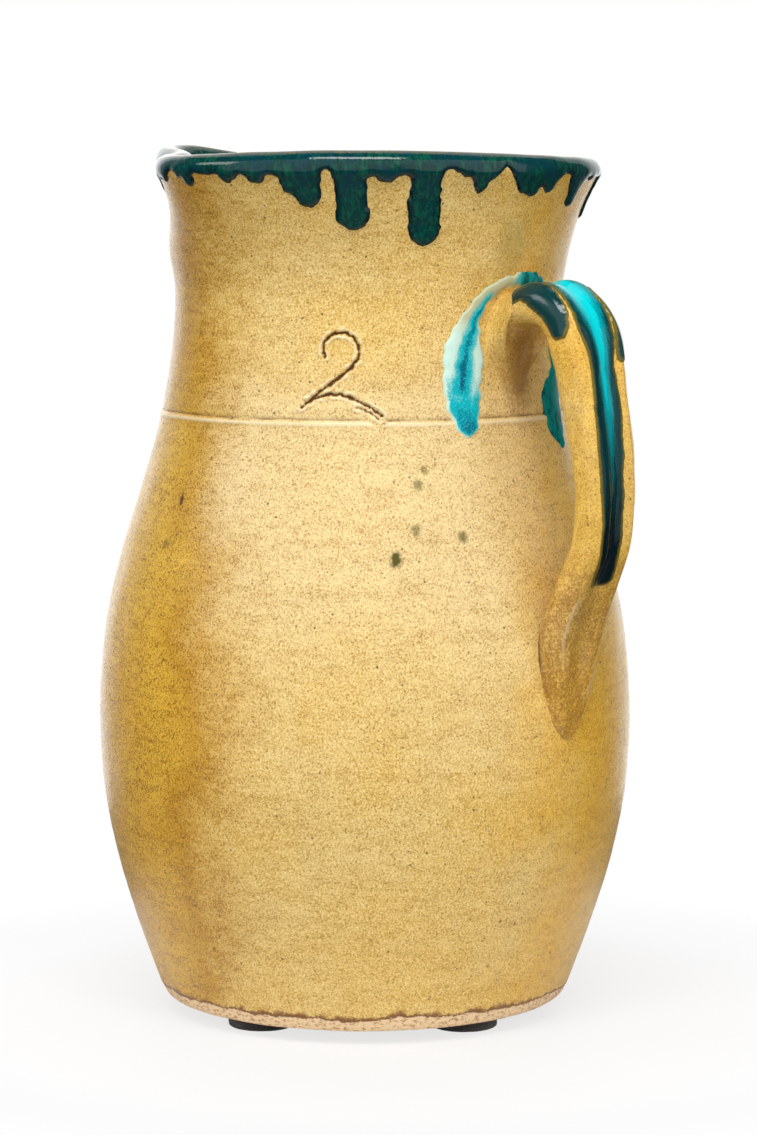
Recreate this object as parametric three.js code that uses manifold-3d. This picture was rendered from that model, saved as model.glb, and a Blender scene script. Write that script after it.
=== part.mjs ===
// A wheel-thrown stoneware pitcher with a pulled strap handle, run glazes and felt pads under its foot.
// Millimetres and degrees, +Z up. The handle points along +X and the spout along -X. The origin is at
// the middle of the part's box, on the surface that it stands on.

import * as THREE from "three";
import { mergeVertices } from "three/addons/utils/BufferGeometryUtils.js";
import Module from "manifold-3d";

// Driving dimensions of the thrown body, with heights above the underside of the clay
const footRadius = 62;
const footBevel = 3;
const footSlope = 0.37;
const bellyRadius = 81;
const bellyHeight = 84;
const rimHeight = 255.2;
const neckBelowRim = 44.2;
const neckRadius = 58.3;
const lipRadius = 70.2;
const lipRound = 3.3;
const lipSlope = 0.62;
const lipFlank = 9;
const wallThickness = 5.5;
const floorThickness = 8;
const floorFillet = 14;

// Incised line round the shoulder
const lineBelowNeck = 30;
const lineWidth = 1.4;
const lineDepth = 0.7;

// Spout drawn out of the lip between two pinches
const spoutReach = 8;
const spoutRise = 2.2;
const spoutSpread = 22;
const spoutDepth = 31.2;
const pinchDepth = 12;
const pinchAngle = 42;
const pinchSpread = 24;

// Pulled strap handle: the heights of its crest and tail and the section's shape
const crestBelowRim = 35.9;
const tailAboveBelly = 3;
const fingerGap = 21.5;
const strapThickness = 9.6;
const strapWidth = 19;
const rootWidth = 26;
const tailWidth = 12;
const grooveDepth = 2.2;
const sectionPower = 3.2;
const grooveSpread = 0.42;

// Glaze skins and the gap that every piece keeps from the clay under it
const jointGap = 0.35;
const glazeThickness = 0.9;
const glazeBand = 6;
const glazeInside = 8;

// Felt pads, stuck under the foot
const padRadius = 9.8;
const padThickness = 3;
const adhesiveThickness = 0.2;
const adhesiveMargin = 0.5;
const padInset = 4;
const padAngles = [-90, -6, 42, 114, 190];

// Facets
const bodySides = 80;
const glazeSides = 60;
const strapSides = 16;
const strapRings = 34;
const padSides = 24;

const clayBase = padThickness + adhesiveThickness;
const neckHeight = rimHeight - neckBelowRim;
const lineHeight = neckHeight - lineBelowNeck;
const crestHeight = rimHeight - crestBelowRim;
const tailHeight = bellyHeight + tailAboveBelly;
const degrees = THREE.MathUtils.degToRad;
const point = (x, y) => new THREE.Vector2(x, y);
const wasm = await Module();
wasm.setup();

// Outline of the wall: three curves, from the foot to the belly, to the neck, to the lip

const lipCentre = point(lipRadius - lipRound, rimHeight - lipRound);
const lipStart = degrees(-40);
const lipFoot = point(
  lipCentre.x + lipRound * Math.cos(lipStart),
  lipCentre.y + lipRound * Math.sin(lipStart),
);

function wallCurve(from, to, lower, upper, lowerSlope, upperSlope) {
  const rise = to.y - from.y;
  return new THREE.CubicBezierCurve(
    from,
    point(from.x + lowerSlope * lower * rise, from.y + lower * rise),
    point(to.x - upperSlope * upper * rise, to.y - upper * rise),
    to,
  );
}

const belly = point(bellyRadius, bellyHeight);
const neck = point(neckRadius, neckHeight);
const footCurve = wallCurve(point(footRadius, footBevel), belly, 0.35, 0.37, footSlope, 0);
const bellyCurve = wallCurve(belly, neck, 0.44, 0.38, 0, 0);
const neckCurve = wallCurve(neck, lipFoot, 0.36, 0.23, 0, lipSlope);
const wallSamples = [footCurve, bellyCurve, neckCurve].flatMap((curve) => curve.getPoints(60));

function wallRadius(height) {
  const last = wallSamples.length - 1;
  const found = wallSamples.findIndex((sample) => sample.y > height);
  const upper = Math.min(Math.max(found < 0 ? last : found, 1), last);
  const a = wallSamples[upper - 1];
  const b = wallSamples[upper];
  const share = THREE.MathUtils.clamp((height - a.y) / Math.max(b.y - a.y, 1e-6), 0, 1);
  return THREE.MathUtils.lerp(a.x, b.x, share);
}

// A point of the wall in its own outline plane, lifted off the surface by a distance
function wallPoint(height, lift = 0) {
  const step = 0.5;
  const slope = (wallRadius(height + step) - wallRadius(height - step)) / (2 * step);
  const normal = point(1, -slope).normalize();
  return point(wallRadius(height) + normal.x * lift, height + normal.y * lift);
}

// The rounded lip, from the outside over the top to the inside
function lipArc(lift = 0) {
  const round = lipRound + lift;
  return new THREE.EllipseCurve(lipCentre.x, lipCentre.y, round, round, lipStart, Math.PI).getPoints(4);
}

// The inside: a straight flank under the lip, then a wall of even thickness
const flankTop = point(lipCentre.x - lipRound, lipCentre.y);
const flankFoot = point(wallRadius(flankTop.y - lipFlank) - wallThickness, flankTop.y - lipFlank);

function innerRadius(height) {
  if (height < flankFoot.y) return wallRadius(height) - wallThickness;
  return THREE.MathUtils.mapLinear(height, flankFoot.y, flankTop.y, flankFoot.x, flankTop.x);
}

// Meshes from rows of points

function meshGeometry(points, triangles) {
  const geometry = new THREE.BufferGeometry();
  geometry.setAttribute("position", new THREE.Float32BufferAttribute(points.flatMap((p) => p.toArray()), 3));
  geometry.setIndex(triangles);
  return geometry;
}

// A skin over rings of points: wrapped round into a closed loop, or closed by a cap at each end
function loft(rings, wrapped) {
  const count = rings[0].length;
  const points = rings.flat();
  const triangles = [];
  const bands = wrapped ? rings.length : rings.length - 1;
  for (let row = 0; row < bands; row += 1) {
    const next = (row + 1) % rings.length;
    for (let column = 0; column < count; column += 1) {
      const across = (column + 1) % count;
      const a = row * count + column;
      const b = row * count + across;
      const c = next * count + across;
      const d = next * count + column;
      triangles.push(a, b, c, a, c, d);
    }
  }
  if (!wrapped) {
    const outline = (ring) => THREE.ShapeUtils.triangulateShape(flatten(ring), []);
    const lastStart = (rings.length - 1) * count;
    outline(rings[0]).forEach(([a, b, c]) => triangles.push(c, b, a));
    outline(rings.at(-1)).forEach(([a, b, c]) => triangles.push(lastStart + a, lastStart + b, lastStart + c));
  }
  return meshGeometry(points, triangles);
}

// A ring's points seen along its own normal, so that its cap can be cut into triangles
function flatten(ring) {
  const normal = new THREE.Vector3();
  ring.forEach((p, i) => normal.add(new THREE.Vector3().crossVectors(p, ring[(i + 1) % ring.length])));
  normal.normalize();
  const across = new THREE.Vector3(0, 0, 1).cross(normal).normalize();
  if (across.lengthSq() < 0.5) across.set(1, 0, 0);
  const up = new THREE.Vector3().crossVectors(normal, across);
  return ring.map((p) => point(p.dot(across), p.dot(up)));
}

function toManifold(geometry) {
  const bare = geometry.clone();
  bare.deleteAttribute("normal");
  bare.deleteAttribute("uv");
  const merged = mergeVertices(bare, 1e-4);
  const vertProperties = new Float32Array(merged.attributes.position.array);
  const triVerts = new Uint32Array(merged.index.array);
  return new wasm.Manifold(new wasm.Mesh({ numProp: 3, vertProperties, triVerts }));
}

function fromManifold(solid) {
  const mesh = solid.getMesh();
  const geometry = new THREE.BufferGeometry();
  geometry.setAttribute("position", new THREE.BufferAttribute(new Float32Array(mesh.vertProperties), 3));
  geometry.setIndex(new THREE.BufferAttribute(new Uint32Array(mesh.triVerts), 1));
  return geometry;
}

// The spout: the lip is drawn out on -X, pushed in at each side, and lifted at the tip
const bell = (value, spread) => Math.exp(-((value / spread) ** 2));

function pullSpout(p) {
  const radius = Math.hypot(p.x, p.y);
  const share = THREE.MathUtils.smoothstep(p.z, rimHeight - spoutDepth, rimHeight);
  if (share === 0 || radius === 0) return p;
  const turn = Math.abs(THREE.MathUtils.radToDeg(Math.atan2(p.y, -p.x)));
  const tip = bell(turn, spoutSpread);
  const pinch = bell(turn - pinchAngle, pinchSpread);
  const pulled = 1 + (share * (spoutReach * tip - pinchDepth * pinch)) / radius;
  return p.set(p.x * pulled, p.y * pulled, p.z + share * share * spoutRise * tip);
}

function pullGeometry(geometry) {
  const positions = geometry.attributes.position;
  const p = new THREE.Vector3();
  for (let i = 0; i < positions.count; i += 1) {
    pullSpout(p.fromBufferAttribute(positions, i));
    positions.setXYZ(i, p.x, p.y, p.z);
  }
  return geometry;
}

function turned(outline) {
  return new THREE.LatheGeometry(outline, bodySides).rotateX(Math.PI / 2);
}

// Thrown body

function outerOutline() {
  const above = (curve, steps) => curve.getPoints(steps).slice(1);
  const rows = [...footCurve.getPoints(5), ...above(bellyCurve, 9), ...above(neckCurve, 5)];
  const clear = rows.filter((row) => Math.abs(row.y - lineHeight) > 2 * lineWidth);
  const line = [-lineWidth / 2, 0, lineWidth / 2].map((offset) => wallPoint(lineHeight + offset));
  line[1].x -= lineDepth;
  return [...clear, ...line].sort((a, b) => a.y - b.y);
}

function innerOutline() {
  const cornerHeight = floorThickness + floorFillet;
  const rows = 8;
  const wallRows = Array.from({ length: rows + 1 }, (_, i) => {
    const height = THREE.MathUtils.lerp(flankFoot.y, cornerHeight, i / rows);
    return point(innerRadius(height), height);
  });
  const cornerCentre = innerRadius(cornerHeight) - floorFillet;
  const quarter = -Math.PI / 2;
  const fillet = floorFillet;
  const corner = new THREE.EllipseCurve(cornerCentre, cornerHeight, fillet, fillet, 0, quarter, true);
  return [...wallRows, ...corner.getPoints(3).slice(1)];
}

function bodyGeometry() {
  const outline = [
    point(0, 0),
    point(footRadius - footBevel, 0),
    ...outerOutline(),
    ...lipArc().slice(1),
    ...innerOutline(),
    point(0, floorThickness),
  ];
  return pullGeometry(turned(outline));
}

// The space that the body fills, grown by the joint's gap, which other pieces are cut back to
function bodySpace() {
  const rows = [...footCurve.getPoints(20), ...bellyCurve.getPoints(40), ...neckCurve.getPoints(12)];
  const grown = rows.map((row) => wallPoint(row.y, jointGap));
  return turned([point(0, 0), ...grown, point(0, grown.at(-1).y)]);
}

// Strap handle. Each station gives its outer and inner edge as a share of the height from the tail to the
// crest and a stand-off from the wall, with the strap's width and groove there and how far its under side
// narrows.

const gripReach = fingerGap + strapThickness;
const outTo = (share) => share * gripReach;
const inTo = (share) => share * gripReach - strapThickness;
const stations = [
  { outer: [0.975, -8], inner: [0.58, -9], width: rootWidth + 1, groove: 0, taper: 0.75 },
  { outer: [0.985, 4], inner: [0.74, 0.5], width: rootWidth - 2.5, groove: 0.2, taper: 0.5 },
  { outer: [1, outTo(0.5)], inner: [0.9, inTo(0.5)], width: strapWidth + 2, groove: 0.8, taper: 0.1 },
  { outer: [0.965, outTo(0.89)], inner: [0.91, inTo(0.87)], width: strapWidth, groove: 1, taper: 0 },
  { outer: [0.885, outTo(1.1)], inner: [0.835, inTo(1.06)], width: strapWidth, groove: 1, taper: 0 },
  { outer: [0.787, outTo(1.175)], inner: [0.742, inTo(1.12)], width: strapWidth, groove: 1, taper: 0 },
  { outer: [0.643, outTo(1.14)], inner: [0.62, inTo(1.11)], width: strapWidth, groove: 1, taper: 0 },
  { outer: [0.53, outTo(1.015)], inner: [0.523, inTo(1)], width: strapWidth, groove: 1, taper: 0 },
  { outer: [0.427, outTo(0.85)], inner: [0.445, inTo(0.84)], width: strapWidth, groove: 1, taper: 0 },
  { outer: [0.336, outTo(0.61)], inner: [0.358, inTo(0.57)], width: strapWidth, groove: 0.9, taper: 0 },
  { outer: [0.227, outTo(0.33)], inner: [0.26, -0.3], width: strapWidth - 0.5, groove: 0.8, taper: 0 },
  { outer: [0.106, outTo(0.16)], inner: [0.125, -5], width: strapWidth - 2, groove: 0.6, taper: 0 },
  { outer: [0.008, 1.6], inner: [0.02, -6], width: tailWidth, groove: 0.2, taper: 0 },
];

const strapHeight = (share) => THREE.MathUtils.lerp(tailHeight, crestHeight, share);

function strapEdge([share, standOff]) {
  const height = strapHeight(share);
  return new THREE.Vector3(wallRadius(height) + standOff, 0, height);
}

const smooth = (points, kind) => new THREE.CatmullRomCurve3(points, false, kind);
const outerEdge = smooth(stations.map((station) => strapEdge(station.outer)), "centripetal");
const innerEdge = smooth(stations.map((station) => strapEdge(station.inner)), "centripetal");
const sectionSizes = smooth(
  stations.map(({ width, groove, taper }) => new THREE.Vector3(width, groove * grooveDepth, taper)),
  "catmullrom",
);

// The strap's section at an angle round it: a rounded oblong with a groove pressed along its outer face
function sectionPoint(size, thickness, angle) {
  const soften = (value) => Math.sign(value) * Math.abs(value) ** (2 / sectionPower);
  const across = soften(Math.cos(angle));
  const out = soften(Math.sin(angle));
  const press = out > 0 ? size.y * bell(across, grooveSpread) * out : 0;
  const narrowed = out < 0 ? 1 + size.z * out : 1;
  return point((across * narrowed * size.x) / 2, (out * thickness) / 2 - press);
}

// A point on the strap's skin, lifted off it by a distance
function strapPoint(share, angle, lift = 0) {
  const outer = outerEdge.getPoint(share);
  const inner = innerEdge.getPoint(share);
  const size = sectionSizes.getPoint(share);
  const out = new THREE.Vector3().subVectors(outer, inner);
  const thickness = out.length();
  const section = (turn) => sectionPoint(size, thickness, turn);
  const along = section(angle + 0.01).sub(section(angle - 0.01)).normalize();
  const at = section(angle).add(point(along.y, -along.x).multiplyScalar(lift));
  const middle = outer.add(inner).multiplyScalar(0.5);
  return middle.addScaledVector(out.normalize(), at.y).add(new THREE.Vector3(0, at.x, 0));
}

const sideAngle = (side) => ((side + 0.5) / strapSides) * 2 * Math.PI;

function handleGeometry() {
  const rings = Array.from({ length: strapRings + 1 }, (_, ring) =>
    Array.from({ length: strapSides }, (_, side) => strapPoint(ring / strapRings, sideAngle(side))));
  return fromManifold(toManifold(loft(rings, false)).subtract(toManifold(bodySpace())));
}

// Rim glaze: a skin from inside the lip over its top and down the outside, where it ends in runs.
// Each run has its place round the rim, half its width, and how far below the rim it reaches.

const runs = [
  { at: -92, half: 3, drop: 8 },
  { at: -74, half: 6, drop: 7.2 },
  { at: -61.5, half: 5, drop: 13.6 },
  { at: -50.4, half: 4.6, drop: 20.8 },
  { at: -32, half: 5, drop: 25 },
  { at: -17.8, half: 5, drop: 9.8 },
  { at: 1.5, half: 7, drop: 10.5 },
  { at: 18.3, half: 5.5, drop: 14.7 },
  { at: 38, half: 5, drop: 19 },
  { at: 54, half: 5, drop: 8 },
  { at: 67, half: 5, drop: 14 },
  { at: 80, half: 5, drop: 22 },
  { at: 95, half: 6, drop: 9 },
  { at: 109, half: 5, drop: 17 },
  { at: 136, half: 5, drop: 12 },
  { at: 168, half: 6, drop: 9 },
  { at: 210, half: 6, drop: 8 },
  { at: 237, half: 5, drop: 10 },
];

const turnFrom = (from, angle) => THREE.MathUtils.euclideanModulo(angle - from + 180, 360) - 180;

function runDrop(angle) {
  const reach = runs.map((run) => {
    const share = Math.min(Math.abs(turnFrom(run.at, angle)) / run.half, 1);
    return run.drop * Math.sqrt(1 - share ** 3);
  });
  return Math.max(glazeBand, ...reach);
}

// Columns of the skin: five on every run, and even ones between the runs
const runColumnGap = 0.8;
const evenColumnGap = 2.5;

function glazeAngles() {
  const flanks = runs.flatMap((run) => [0, -0.65, 0.65, -1, 1].map((share) => run.at + share * run.half));
  const even = Array.from({ length: glazeSides }, (_, i) => (i * 360) / glazeSides);
  const kept = [];
  [...flanks, ...even].forEach((angle, i) => {
    const clearance = i < flanks.length ? runColumnGap : evenColumnGap;
    if (kept.every((other) => Math.abs(turnFrom(other, angle)) > clearance)) kept.push(angle);
  });
  return kept.map((angle) => THREE.MathUtils.euclideanModulo(angle, 360)).sort((a, b) => a - b);
}

function rimOutline(drop, lift) {
  const wallRows = 4;
  const lower = rimHeight - drop;
  const wallPart = Array.from({ length: wallRows }, (_, i) =>
    wallPoint(THREE.MathUtils.lerp(lower, lipFoot.y, i / wallRows), lift));
  const inside = [0.5, 1].map((share) => {
    const height = flankTop.y - share * glazeInside;
    return point(innerRadius(height) - lift, height);
  });
  return [...wallPart, ...lipArc(lift), ...inside];
}

function rimGlazeGeometry() {
  const rings = glazeAngles().map((angle) => {
    const drop = runDrop(angle);
    const under = rimOutline(drop, jointGap);
    const over = rimOutline(drop, jointGap + glazeThickness);
    const turn = degrees(angle);
    return [...under, ...over.reverse()].map((p) =>
      pullSpout(new THREE.Vector3(p.x * Math.cos(turn), p.x * Math.sin(turn), p.y)));
  });
  return loft(rings, true);
}

// Glaze that ran round the handle's upper root: a ribbon over the root and down both of its sides.
// Each station has its distance round the neck from the handle's middle, its height as a share of the
// height from the tail to the crest, and half its width.

const beside = (clearance) => rootWidth / 2 + clearance;
const ribbon = [
  { side: -beside(6.8), share: 0.658, half: 1.2 },
  { side: -beside(6.5), share: 0.695, half: 4.2 },
  { side: -beside(6.1), share: 0.756, half: 5.2 },
  { side: -beside(5.3), share: 0.831, half: 4.6 },
  { side: -beside(4.3), share: 0.9, half: 3.8 },
  { side: -beside(0.7), share: 0.971, half: 3.2 },
  { side: -7, share: 1.02, half: 2.8 },
  { side: 0, share: 1.035, half: 2.6 },
  { side: 7, share: 1.02, half: 2.8 },
  { side: beside(0.7), share: 0.971, half: 3.2 },
  { side: beside(4.3), share: 0.9, half: 3.8 },
  { side: beside(5.3), share: 0.831, half: 4 },
  { side: beside(5.9), share: 0.748, half: 3.8 },
  { side: beside(7.1), share: 0.68, half: 2.8 },
  { side: beside(7.6), share: 0.627, half: 1 },
];

function jointGlazeGeometry() {
  const onWall = ribbon.map((s) => point(s.side, strapHeight(s.share)));
  const lanes = [-1, -0.55, 0, 0.55, 1];
  const edgeThinning = 0.6;
  const rings = ribbon.map((station, i) => {
    const before = onWall[Math.max(i - 1, 0)];
    const after = onWall[Math.min(i + 1, onWall.length - 1)];
    const along = after.clone().sub(before).normalize();
    const skin = (lane, lift) => {
      const side = lane * station.half;
      const height = onWall[i].y + along.x * side;
      const turn = (onWall[i].x - along.y * side) / neckRadius;
      const p = wallPoint(height, lift);
      return new THREE.Vector3(p.x * Math.cos(turn), p.x * Math.sin(turn), p.y);
    };
    const crown = (lane) => jointGap + glazeThickness * (1 - edgeThinning * lane * lane);
    return [
      ...lanes.map((lane) => skin(lane, jointGap)),
      ...lanes.toReversed().map((lane) => skin(lane, crown(lane))),
    ];
  });
  return loft(rings, false);
}

// Glaze lying on the strap, on the strap's own facets: over a stretch of its length, given as two shares
// of it, and on lanes counted in sides round its section from +Y
function strapGlazeGeometry({ from, to, lanes }) {
  const first = Math.round(from * strapRings);
  const last = Math.round(to * strapRings);
  const rows = Array.from({ length: last - first + 1 }, (_, i) => {
    const skin = (lane, lift) => strapPoint((first + i) / strapRings, sideAngle(lane), lift);
    const under = lanes.map((lane) => skin(lane, jointGap));
    const over = lanes.map((lane) => skin(lane, jointGap + glazeThickness));
    return [...over, ...under.reverse()];
  });
  return loft(rows, false);
}

const strapGlazes = {
  groove_glaze: { from: 0.16, to: 0.735, lanes: [1.6, 2, 3, 4, 5, 5.4] },
  near_ridge_glaze: { from: 0.16, to: 0.34, lanes: [5.8, 6, 7, 7.8] },
  far_ridge_glaze: { from: 0.21, to: 0.4, lanes: [-0.8, 0, 1, 1.2] },
};

// Felt pads and their adhesive discs

const padPitch = footRadius - footBevel - padInset - padRadius;

function disc(radius, bottom, height) {
  const geometry = new THREE.CylinderGeometry(radius, radius, height, padSides).rotateX(Math.PI / 2);
  return geometry.translate(0, 0, bottom + height / 2);
}

// Assembly

const finish = (color, roughness) => new THREE.MeshStandardMaterial({ color, roughness, metalness: 0 });

function piece(name, geometry, material) {
  const mesh = new THREE.Mesh(geometry, material);
  mesh.name = name;
  return mesh;
}

const clay = new THREE.Group();
clay.position.z = clayBase;
clay.add(
  piece("thrown_body", bodyGeometry(), finish(0xc79d57, 0.45)),
  piece("strap_handle", handleGeometry(), finish(0xc29a58, 0.45)),
  piece("rim_glaze", rimGlazeGeometry(), finish(0x1d4a55, 0.2)),
  piece("joint_glaze", jointGlazeGeometry(), finish(0x63a9a8, 0.25)),
);
for (const [name, patch] of Object.entries(strapGlazes)) {
  clay.add(piece(name, strapGlazeGeometry(patch), finish(0x1f6f7d, 0.2)));
}

const pads = new THREE.Group();
padAngles.forEach((angle, i) => {
  const spot = new THREE.Group();
  spot.position.set(padPitch * Math.cos(degrees(angle)), padPitch * Math.sin(degrees(angle)), 0);
  spot.add(
    piece(`felt_pad_${i + 1}`, disc(padRadius, 0, padThickness), finish(0x17171a, 0.95)),
    piece(
      `pad_adhesive_${i + 1}`,
      disc(padRadius - adhesiveMargin, padThickness, adhesiveThickness),
      finish(0xd8d4c4, 0.6),
    ),
  );
  pads.add(spot);
});

const pitcher = new THREE.Group();
pitcher.add(clay, pads);
const box = new THREE.Box3().setFromObject(pitcher);
pitcher.position.x = -(box.min.x + box.max.x) / 2;

export default pitcher;
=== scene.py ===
"""Looks of a wheel-thrown stoneware pitcher with a pulled strap handle, run glazes and felt pads.

Lengths are millimetres in the clay's own frame: the vessel's axis is the origin, and heights are above the
underside of the clay. The handle points along +X, and angles are degrees that turn from there towards +Y.
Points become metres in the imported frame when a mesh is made. The stage is in metres.
"""

import math
from functools import partial

import bpy
import numpy as np
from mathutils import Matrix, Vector


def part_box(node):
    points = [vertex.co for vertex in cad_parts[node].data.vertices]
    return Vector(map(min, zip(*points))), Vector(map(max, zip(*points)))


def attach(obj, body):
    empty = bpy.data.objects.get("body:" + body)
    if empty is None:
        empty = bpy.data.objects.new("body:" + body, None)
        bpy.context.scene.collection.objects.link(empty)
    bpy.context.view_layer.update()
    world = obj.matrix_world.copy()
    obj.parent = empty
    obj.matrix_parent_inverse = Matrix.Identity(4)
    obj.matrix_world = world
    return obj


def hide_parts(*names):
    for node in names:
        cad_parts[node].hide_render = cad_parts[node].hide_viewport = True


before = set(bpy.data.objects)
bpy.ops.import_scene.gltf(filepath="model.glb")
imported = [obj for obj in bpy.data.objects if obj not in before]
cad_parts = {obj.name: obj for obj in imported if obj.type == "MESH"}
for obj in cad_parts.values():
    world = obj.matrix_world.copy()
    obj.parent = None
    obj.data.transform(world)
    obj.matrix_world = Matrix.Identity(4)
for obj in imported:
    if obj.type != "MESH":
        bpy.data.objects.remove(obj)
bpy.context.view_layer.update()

# Sizes of the thrown body
MM = 0.001
FOOT_RADIUS = 62
FOOT_BEVEL = 3
FOOT_ROUND = 6.5
FOOT_SLOPE = 0.37
BELLY_RADIUS = 81
BELLY_HEIGHT = 84
NECK_RADIUS = 58.3
NECK_HEIGHT = 211
RIM_HEIGHT = 255.2
LIP_RADIUS = 70.2
LIP_ROUND = 3.3
LIP_SLOPE = 0.62
LIP_FLANK = 9
WALL = 5.5
FLOOR = 8
FLOOR_FILLET = 14
CURVE_STEPS = 240

# How the thrown shape strays from round and level: the rim tilts and swells on one side and the neck leans
RIM_TILT = 1.2
TILT_TURN = -75
RIM_SWELL = 1.1
SWELL_TURN = -35
SWELL_SPREAD = 45
SWELL_DEPTH = 16
NECK_LEAN = 1.2
LEAN_TURN = math.radians(43)
LEAN_HEIGHT = 220
LEAN_SPREAD = 24
RING_PITCH = 7
RING_HEIGHT = 0.03

# Spout
SPOUT_REACH = 8
SPOUT_RISE = 3.1
RISE_TURN = 182
RISE_SPREADS = (13.5, 36)
SPOUT_SPREAD = 22
SPOUT_DEPTH = 31.2
PINCH_DEPTH = 12
PINCH_TURN = 42
PINCH_SPREAD = 22
DIP = 0.6
DIP_TURN = 75
DIP_SPREAD = 22

# Strap handle
CREST_HEIGHT = 219.3
TAIL_HEIGHT = 87
STRAP_THICKNESS = 9.6
GRIP_REACH = 31.1
GROOVE_DEPTH = 2.2
SECTION_POWER = 3.2
GROOVE_SPREAD = 0.42
ROOT_JOIN = 0.13

# Glazes: how high they stand, how wide their rounded edge is, and how high the amber ends above the underside
GLAZE_HEIGHT = 0.85
GLAZE_EDGE = 2.2
FOOT_EDGE = 4.6

# Unevenness in layers of a strength, a wavelength and a seed
LUMPS = ((0.3, 80, 22), (0.06, 18, 23))
FOOT_RAGS = ((0.4, 26, 31), (0.3, 7, 32), (0.18, 3.4, 33))
NOTCH_RAGS = ((0.3, 24, 43), (0.35, 6, 44))
INNER_RAGS = ((1.0, 30, 45), (0.5, 9, 46))
RUN_RAGS_ACROSS = ((0.35, 7, 41), (0.22, 2.6, 47))
RUN_RAGS_DOWN = ((0.35, 5, 42), (0.22, 2.6, 48))
STROKE_SHAKES = ((0.2, 2.8, 13), (0.12, 1.4, 16))
WAVES = 8
FAR_OUTSIDE = -50.0

body_low, body_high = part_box("thrown_body")
AXIS = np.array([(body_low.x + body_high.x) / 2, (body_low.y + body_high.y) / 2, body_low.z])


def smooth(value, low, high):
    share = np.clip((value - low) / (high - low), 0, 1)
    return share * share * (3 - 2 * share)


def bell(value, spread):
    return np.exp(-((value / spread) ** 2))


def waves(points, length, seed):
    """Smooth unevenness, mostly between -1 and 1, with about this wavelength and the same on every run."""
    draw = np.random.default_rng(seed)
    points = np.asarray(points, float)
    total = np.zeros(points.shape[:-1])
    for _ in range(WAVES):
        way = draw.normal(size=points.shape[-1])
        way *= 2 * math.pi * draw.uniform(0.7, 1.4) / (length * np.linalg.norm(way))
        total += np.sin(points @ way + draw.uniform(0, 2 * math.pi))
    return total / math.sqrt(WAVES) * 0.8


def rough(points, layers):
    return sum(strength * waves(points, length, seed) for strength, length, seed in layers)


def stack(*parts):
    return np.stack(np.broadcast_arrays(*parts), axis=-1)


def unit(vectors):
    return vectors / np.maximum(np.linalg.norm(vectors, axis=-1, keepdims=True), 1e-12)


def steps(start, end, size):
    count = max(2, int(round(abs(end - start) / size)) + 1)
    return np.linspace(start, end, count)


# Outline of the clay


def cubic(a, b, c, d, t):
    return a * (1 - t) ** 3 + 3 * b * t * (1 - t) ** 2 + 3 * c * t * t * (1 - t) + d * t**3


def bezier(a, b, c, d, count):
    corners = np.array([a, b, c, d], float)
    return cubic(*corners, np.linspace(0, 1, count)[:, None])


def wall_curve(start, end, lower, upper, lower_slope, upper_slope):
    rise = end[1] - start[1]
    leave = (start[0] + lower_slope * lower * rise, start[1] + lower * rise)
    arrive = (end[0] - upper_slope * upper * rise, end[1] - upper * rise)
    return bezier(start, leave, arrive, end, CURVE_STEPS)


LIP_CENTRE = (LIP_RADIUS - LIP_ROUND, RIM_HEIGHT - LIP_ROUND)
LIP_START = math.radians(-40)
FLANK_FOOT = LIP_CENTRE[1] - LIP_FLANK


def lip_arc(count):
    """The round of the lip from the outer wall over its top to the inside."""
    turn = np.linspace(LIP_START, math.pi, count)
    return stack(LIP_CENTRE[0] + LIP_ROUND * np.cos(turn), LIP_CENTRE[1] + LIP_ROUND * np.sin(turn))


LIP_FOOT = lip_arc(1)[0]
FOOT = (FOOT_RADIUS, FOOT_BEVEL)
BELLY = (BELLY_RADIUS, BELLY_HEIGHT)
NECK = (NECK_RADIUS, NECK_HEIGHT)
WALL_LINE = np.vstack([
    wall_curve(FOOT, BELLY, 0.35, 0.37, FOOT_SLOPE, 0),
    wall_curve(BELLY, NECK, 0.44, 0.38, 0, 0)[1:],
    wall_curve(NECK, LIP_FOOT, 0.36, 0.23, 0, LIP_SLOPE)[1:],
])
WALL_SLOPE = np.gradient(WALL_LINE[:, 0], WALL_LINE[:, 1])


def wall_radius(height):
    return np.interp(height, WALL_LINE[:, 1], WALL_LINE[:, 0])


def wall_normal(height):
    """The wall's outward normal as (radial, upward)."""
    slope = np.interp(height, WALL_LINE[:, 1], WALL_SLOPE)
    size = np.sqrt(1 + slope**2)
    return 1 / size, -slope / size


def off_wall(points):
    """How far points stand off the outer wall."""
    return np.hypot(points[..., 0], points[..., 1]) - wall_radius(points[..., 2])


def leaned(points):
    """The neck stands a little off the axis."""
    x, y, z = np.moveaxis(points, -1, 0)
    lean = NECK_LEAN * bell(z - LEAN_HEIGHT, LEAN_SPREAD)
    return stack(x + lean * math.cos(LEAN_TURN), y + lean * math.sin(LEAN_TURN), z)


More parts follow.
